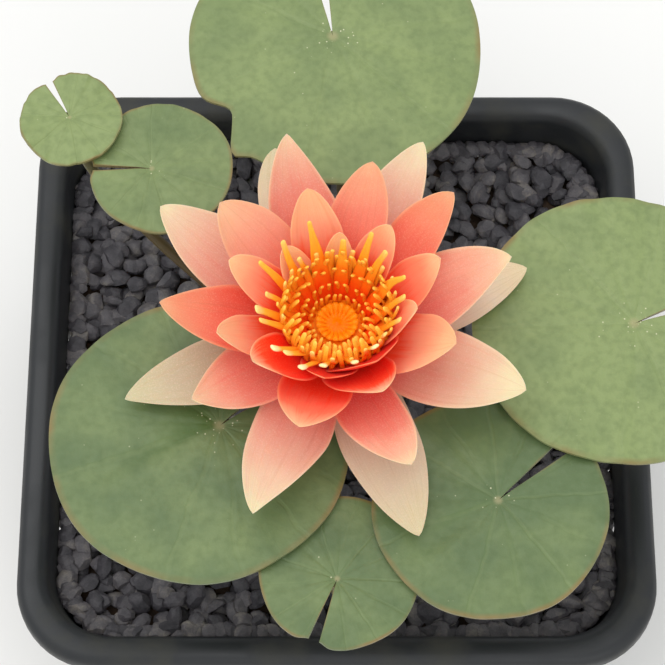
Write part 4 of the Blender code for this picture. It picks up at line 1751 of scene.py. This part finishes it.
@dataclass(frozen=True)
class PlantingBasket:
    """The basket: slotted walls and floor under a turned-down rim."""

    wall: float = 2.0
    corner: float = 22.0
    corner_steps: int = 12
    foot_round: float = 3.0
    rim_out: float = 5.0
    rim_drop: float = 5.0
    rim_round: float = 1.6
    band: Pair = (47.4, 51.6)
    band_out: float = 0.8
    pitch: float = 10.5
    columns: int = 10
    slot_width: float = 4.5
    slot_round: float = 2.1
    slot_deep: float = 14.0
    rows: tuple[Pair, ...] = ((11.0, 45.0), (54.0, 86.0))
    floor_columns: int = 7
    floor_pitch: float = 14.0
    floor_ends: Pair = (24.0, 56.0)
    edge_round: float = 0.35

    def select(self, piece: Piece, mode: str, chosen: Callable[[Vector, Vector], bool]) -> None:
        """Selects edges or faces, and ends in edit mode.

        Args:
            piece: The piece.
            mode: "EDGE" or "FACE".
            chosen: Tells from an edge's two ends, or a face's middle and normal, all in
                millimetres, whether it is one of them.
        """
        bpy.ops.object.mode_set(mode="OBJECT")
        pick(piece)
        bpy.ops.object.mode_set(mode="EDIT")
        bpy.ops.mesh.select_mode(type=mode)
        bpy.ops.mesh.select_all(action="DESELECT")
        bpy.ops.object.mode_set(mode="OBJECT")
        mesh = piece.data
        if mode == "EDGE":
            for edge in mesh.edges:
                edge.select = chosen(*(mesh.vertices[index].co / MM for index in edge.vertices))
        else:
            for face in mesh.polygons:
                face.select = chosen(face.center / MM, face.normal)
        bpy.ops.object.mode_set(mode="EDIT")

    def round_edges(self, radius: float, steps: int) -> None:
        """Rounds the selected edges."""
        bpy.ops.mesh.bevel(offset=radius * MM, segments=steps, affect="EDGES")

    def tub(self) -> Piece:
        """Models the basket's skin: the tapered tub, its rim, and a band round its walls.

        Returns:
            The skin, open at its top, without its slots.
        """
        start_clean()
        bpy.ops.mesh.primitive_cube_add(size=2.0)
        tub = name_new("basket_shell")

        def taper(place: Vector) -> Vector:
            """Gives a corner of the cube its place on the tub."""
            height = TUB_HEIGHT if place.z > 0 else 0.0
            half = tub_half_width(height)
            return Vector((place.x * half, place.y * half, height))

        reshape(tub, taper)
        self.select(tub, "EDGE", lambda a, b: abs(a.z - b.z) > TUB_HEIGHT / 2)
        self.round_edges(self.corner, self.corner_steps)
        self.select(tub, "FACE", lambda middle, normal: normal.z > 0.9)
        bpy.ops.mesh.delete(type="FACE")
        self.select(tub, "EDGE", lambda a, b: max(a.z, b.z) < 0.1)
        self.round_edges(self.foot_round, 4)
        for height in self.band:
            bpy.ops.mesh.select_all(action="SELECT")
            bpy.ops.mesh.bisect(plane_co=UP * (height * MM), plane_no=UP)
        low, high = self.band
        self.select(tub, "FACE", lambda middle, normal: low < middle.z < high)
        bpy.ops.mesh.extrude_region_shrink_fatten(
            TRANSFORM_OT_shrink_fatten={"value": self.band_out * MM}
        )
        self.select(tub, "EDGE", lambda a, b: min(a.z, b.z) > TUB_HEIGHT - 0.1)
        grow = (TUB_RIM + self.rim_out) / TUB_RIM
        bpy.ops.mesh.extrude_edges_move()
        bpy.ops.transform.resize(value=(grow, grow, 1.0), center_override=(0.0, 0.0, 0.0))
        bpy.ops.mesh.extrude_edges_move(
            TRANSFORM_OT_translate={"value": (0.0, 0.0, -self.rim_drop * MM)}
        )
        self.select(tub, "EDGE", self.runs_round_rim)
        self.round_edges(self.rim_round, 3)
        bpy.ops.mesh.select_mode(type="VERT")
        bpy.ops.object.mode_set(mode="OBJECT")
        return tub

    def runs_round_rim(self, first: Vector, second: Vector) -> bool:
        """Tells whether an edge lies on top of the rim and runs round it, not across it.

        Args:
            first: One end of the edge.
            second: Its other end.

        Returns:
            Whether it does.
        """
        along = (second - first).normalized()
        out = Vector((first.x + second.x, first.y + second.y, 0.0)).normalized()
        on_top = min(first.z, second.z) > TUB_HEIGHT - 0.1
        return on_top and abs(along.dot(out)) < 0.6 and (second - first).length > 1e-3

    def slot(self, height: float) -> Piece:
        """Models one slot's cutter, with round corners where it goes through.

        Args:
            height: Its height.

        Returns:
            The cutter, about the origin.
        """
        size = (self.slot_deep, self.slot_width, height)
        start_clean()
        bpy.ops.mesh.primitive_cube_add(size=1.0)
        block = bpy.context.object
        reshape(block, lambda place: Vector(a * b for a, b in zip(place, size)))
        self.select(block, "EDGE", lambda a, b: abs(a.x - b.x) > self.slot_deep / 2)
        self.round_edges(self.slot_round, 4)
        bpy.ops.mesh.select_mode(type="VERT")
        bpy.ops.object.mode_set(mode="OBJECT")
        return block

    def cutters(self) -> Piece:
        """Copies one slot to every place in the walls and the floor.

        Returns:
            All the cutters as one piece.
        """
        copies: list[Piece] = []

        def place_copy(block: Piece, spot: Vector, quarter: int, tip: float = 0.0) -> None:
            """Copies a block to a spot, tips it, and turns it by so many quarters."""
            twin = copy_piece(block, f"slot_{len(copies)}")
            turn = Matrix.Rotation(quarter * math.pi / 2, 4, "Z")
            stand = Matrix.Rotation(math.radians(tip), 4, "Y")
            twin.data.transform(turn @ Matrix.Translation(spot * MM) @ stand)
            copies.append(twin)

        for low, high in self.rows:
            middle = (low + high) / 2
            block = self.slot(high - low)
            for column in range(self.columns):
                along = (column - (self.columns - 1) / 2) * self.pitch
                for quarter in range(4):
                    place_copy(block, Vector((tub_half_width(middle), along, middle)), quarter)
            discard(block)
        near, far = self.floor_ends
        block = self.slot(far - near)
        for column in range(self.floor_columns):
            along = (column - (self.floor_columns - 1) / 2) * self.floor_pitch
            for quarter in (1, 3):
                place_copy(block, Vector(((near + far) / 2, along, 0.0)), quarter, tip=90.0)
        discard(block)
        return join(copies, "slot_cutters")

    def make(self) -> None:
        tub = self.tub()
        thicken(tub, self.wall, -1.0)
        cutters = self.cutters()
        apply_modifier(tub, "BOOLEAN", object=cutters, operation="DIFFERENCE", solver="EXACT")
        discard(cutters)
        merge_doubles(tub, 0.005)
        sharp = {"limit_method": "ANGLE", "angle_limit": math.radians(40)}
        apply_modifier(tub, "BEVEL", width=self.edge_round * MM, segments=2, **sharp)
        smooth(tub, 35.0)
        hand_over(tub, "basket_plastic", ["basket"], Finishes.PLASTIC)


@dataclass(frozen=True)
class Bed:
    """What fills the basket: loam below, slate chips on top, and the rootstock in both."""

    seed: int = 5
    kinds: int = 6
    breaks: int = 6
    chip_pitch: float = 5.9
    chip_span: float = 172.0
    # level and density of each layer of chips
    layers: tuple[Pair, ...] = ((82.6, 1.0), (84.7, 0.95), (86.0, 0.45))
    chip_sizes: Pair = (3.2, 4.7)
    clear: float = 13.5
    wall_chips: int = 236
    wall_sizes: Pair = (3.2, 4.4)
    wall_levels: Pair = (86.0, 86.4)
    wall_gap: float = 2.4
    corner: float = 20.0
    soil_ends: Pair = (2.4, 80.6)
    soil_gap: float = 2.6
    soil_steps: tuple[int, int] = (240, 26)
    stock_radius: float = 12.0
    stock_level: float = 84.0
    scars: int = 26
    scar_turn: float = 137.5
    rootlets: int = 13
    rootlet_steps: int = 18

    def chip_kinds(self) -> list[Piece]:
        """Models the few kinds of stone chip that all the others are copied from.

        Returns:
            One chip of each kind, about two units across.
        """
        chips = []
        for kind in range(self.kinds):
            start_clean()
            bpy.ops.mesh.primitive_ico_sphere_add(subdivisions=2, radius=1.0)
            chip = bpy.context.object
            chance = random.Random(self.seed + kind)
            pick(chip)
            bpy.ops.object.mode_set(mode="EDIT")
            for _ in range(self.breaks):
                # flat breaks: everything beyond a plane is cut off and the cut is closed
                normal = Vector([chance.gauss(0, 1) for _ in range(3)]).normalized()
                edge = normal * chance.uniform(0.62, 0.85)
                bpy.ops.mesh.select_all(action="SELECT")
                bpy.ops.mesh.bisect(
                    plane_co=edge, plane_no=normal, use_fill=True, clear_outer=True
                )
            bpy.ops.mesh.select_all(action="SELECT")
            bpy.ops.mesh.dissolve_limited(angle_limit=math.radians(12))
            bpy.ops.mesh.quads_convert_to_tris()
            bpy.ops.object.mode_set(mode="OBJECT")
            # a few dozen faces are enough for a chip that is copied two thousand times
            apply_modifier(chip, "DECIMATE", ratio=0.48)
            chips.append(chip)
        return chips

    def chip_places(self) -> list[tuple[Vector, float]]:
        """Scatters the chips over the soil in loose layers, and close along the walls.

        Returns:
            Centre and size of each chip.
        """
        chance = random.Random(self.seed)
        places = []
        count = int(self.chip_span / self.chip_pitch)
        for level, density in self.layers:
            for cell in range(count * count):
                if chance.random() > density:
                    continue
                row, column = divmod(cell, count)
                x = (column - (count - 1) / 2) * self.chip_pitch + chance.uniform(-2, 2)
                y = (row - (count - 1) / 2) * self.chip_pitch + chance.uniform(-2, 2)
                size = chance.uniform(*self.chip_sizes)
                room = tub_half_width(level) - self.soil_gap - size * 0.66
                round_from = room - self.corner
                aside = math.hypot(max(abs(x) - round_from, 0), max(abs(y) - round_from, 0))
                taken = math.hypot(x, y) < self.clear + size * 0.6
                if max(abs(x), abs(y)) > room or aside > self.corner or taken:
                    continue
                places.append((Vector((x, y, level + chance.uniform(-0.7, 0.5))), size))
        # a last row close along the walls, over the slots' upper ends
        for step in range(self.wall_chips):
            size = chance.uniform(*self.wall_sizes)
            level = chance.uniform(*self.wall_levels)
            room = tub_half_width(level) - self.wall_gap - size * 0.62
            spot = rounded_square(room, self.corner, 360 * step / self.wall_chips)
            places.append((spot + UP * level, size))
        return places

    def make_gravel(self) -> None:
        kinds = self.chip_kinds()
        chance = random.Random(self.seed + 50)
        chips = []
        for number, (centre, size) in enumerate(self.chip_places()):
            chip = copy_piece(kinds[chance.randrange(self.kinds)], f"chip_{number}")
            spin = Matrix.Rotation(chance.uniform(0, 2 * math.pi), 4, "Z")
            tilt = Matrix.Rotation(chance.gauss(0, 0.45), 4, "X")
            flat = (1.0, chance.uniform(0.65, 0.95), chance.uniform(0.4, 0.62), 1.0)
            stretch = Matrix.Diagonal(flat) @ Matrix.Scale(size * MM, 4)
            chip.data.transform(Matrix.Translation(centre * MM) @ spin @ tilt @ stretch)
            mark(chip, lot=chance.random() - 0.5)
            chips.append(chip)
        whole = join(chips, "slate_chips")
        discard(*kinds)
        hand_over(whole, "slate_gravel", ["gravel"], Finishes.SLATE)

    def make_soil(self) -> None:
        low, high = self.soil_ends

        def shape(place: Vector) -> Vector:
            """Gives a vertex its place on the crumbly face."""
            height = low + (high - low) * (place.y + 1) / 2
            half = tub_half_width(height) - self.soil_gap
            spot = rounded_square(half, self.corner, (place.x + 1) * 180.0 % 360.0)
            spot.z = height
            rough = noise.fractal(spot * 0.28, 1.0, 2.0, 3)
            crumb = 0.9 * min(max(rough, -1.0), 1.0) + 0.6 * noise.noise(spot * 0.9)
            pull = 1 - (0.55 + 0.5 * crumb) / half
            return Vector((spot.x * pull, spot.y * pull, height))

        sheet = grid_sheet("loam_block", *self.soil_steps)
        reshape(sheet, shape)
        merge_doubles(sheet, 0.02)
        close_ends(sheet)
        smooth(sheet, 60.0)
        hand_over(sheet, "aquatic_soil", ["soil"], Finishes.SOIL)

    def make_rootstock(self, chance: random.Random) -> None:
        """Args:
            chance: Source of the small differences.
        """
        start_clean()
        bpy.ops.mesh.primitive_uv_sphere_add(segments=64, ring_count=40, radius=1.0)
        stock = name_new("rootstock_bark")
        scars = []
        for number in range(self.scars):
            scar = towards(number * self.scar_turn) * 0.9 + UP * chance.uniform(-0.2, 0.75)
            scars.append(scar.normalized())

        def shape(place: Vector) -> Vector:
            """Gives a vertex its place on the bark."""
            away = place.normalized()
            near = min((away - scar).length for scar in scars)
            # each scar is a low collar with a dent in it
            collar = 0.9 * bell(near - 0.2, 0.07) - 0.5 * bell(near, 0.1)
            rough = noise.fractal(away * 3.0, 1.0, 2.0, 3)
            radius = self.stock_radius * (1 + 0.05 * rough) + collar
            spot = away * radius + UP * (self.stock_level + 1.6 * away.z)
            if spot.z > ROOT_TOP:
                spot.z = ROOT_TOP + 0.15 * (spot.z - ROOT_TOP)
            return spot

        reshape(stock, shape)
        smooth(stock, 60.0)
        hand_over(stock, "rootstock_skin", ["rootstock"], Finishes.ROOT)

    def make_rootlets(self, chance: random.Random) -> None:
        """Args:
            chance: Source of the small differences.
        """
        last = self.rootlet_steps
        rootlets = []
        for number in range(self.rootlets):
            angle = 360 * number / self.rootlets + chance.uniform(-12, 12)
            swing = chance.uniform(-30, 30)
            handles = (
                towards(angle) * 11.0 + UP * chance.uniform(88.5, 91.0),
                towards(angle) * 16.0 + UP * 92.0,
                towards(angle + swing / 2) * chance.uniform(19, 22) + UP * 90.0,
                towards(angle + swing) * chance.uniform(22, 28) + UP * 84.5,
            )
            route = [bezier(handles, step / last) for step in range(last + 1)]
            radii = [0.75 - 0.4 * step / last for step in range(last + 1)]
            rootlets.append(tube(f"rootlet_{number}", route, radii, 8))
        whole = join(rootlets, "rootlets")
        smooth(whole, 60.0)
        hand_over(whole, "rootstock_skin", [], Finishes.ROOTLET)

    def make(self) -> None:
        """Makes soil, gravel, rootstock and rootlets."""
        self.make_soil()
        self.make_gravel()
        chance = random.Random(self.seed + 9)
        self.make_rootstock(chance)
        self.make_rootlets(chance)


# Studio


@dataclass(frozen=True)
class Studio:
    """Floor, soft light and the camera, at the photograph's angle."""

    target: tuple[float, float, float] = (-1.26, -18.59, 165.63)
    elevation: float = 66.0
    distance: float = 700.0
    lens: float = 135.34
    floor_width: float = 40.0

    def make(self) -> None:
        """Lays the floor, hangs the lights and sets the camera."""
        start_clean()
        bpy.ops.mesh.primitive_plane_add(size=self.floor_width)
        floor = name_new("studio_floor")
        floor.data.materials.append(Finishes.FLOOR.value.material())
        self.light("overhead", (-0.35, 0.15, 1.5), 1.6, 12.0)
        self.light("front_fill", (0.5, -1.4, 0.9), 1.2, 4.0)
        world = bpy.data.worlds.new("studio_air")
        world.use_nodes = True
        plug(world.node_tree, world.node_tree.nodes["Background"], ("#eef1f4", 1.0))
        scene = bpy.context.scene
        scene.world = world
        scene.view_settings.view_transform = "Standard"
        tilt = math.radians(self.elevation)
        back = Vector((0.0, -math.cos(tilt), math.sin(tilt))) * self.distance
        data = bpy.data.cameras.new("photo_camera")
        data.lens = self.lens
        data.sensor_width = 36.0
        data.clip_start = 0.01
        camera = bpy.data.objects.new("photo_camera", data)
        scene.collection.objects.link(camera)
        camera.location = (Vector(self.target) + back) * MM
        camera.rotation_euler = (math.pi / 2 - tilt, 0.0, 0.0)
        scene.camera = camera

    def light(self, name: str, place: Sequence[float], size: float, power: float) -> None:
        """Hangs one square soft light, turned to the plant.

        Args:
            name: The light's name.
            place: Where it hangs, in metres.
            size: Its width in metres.
            power: Its power in watts.
        """
        data = bpy.data.lights.new(name, "AREA")
        data.size = size
        data.energy = power
        lamp = bpy.data.objects.new(name, data)
        bpy.context.scene.collection.objects.link(lamp)
        lamp.location = place
        aim = UP * 0.15 - lamp.location
        lamp.rotation_euler = aim.to_track_quat("-Z", "Y").to_euler()


def main() -> None:
    """Builds every part of the plant and its basket."""
    logging.basicConfig(level=logging.INFO, format="%(name)s: %(message)s")
    for part in (PlantingBasket, Bed, Foliage, Corolla, Androecium, Pistil, Studio):
        part().make()


if __name__ == "__main__":
    main()
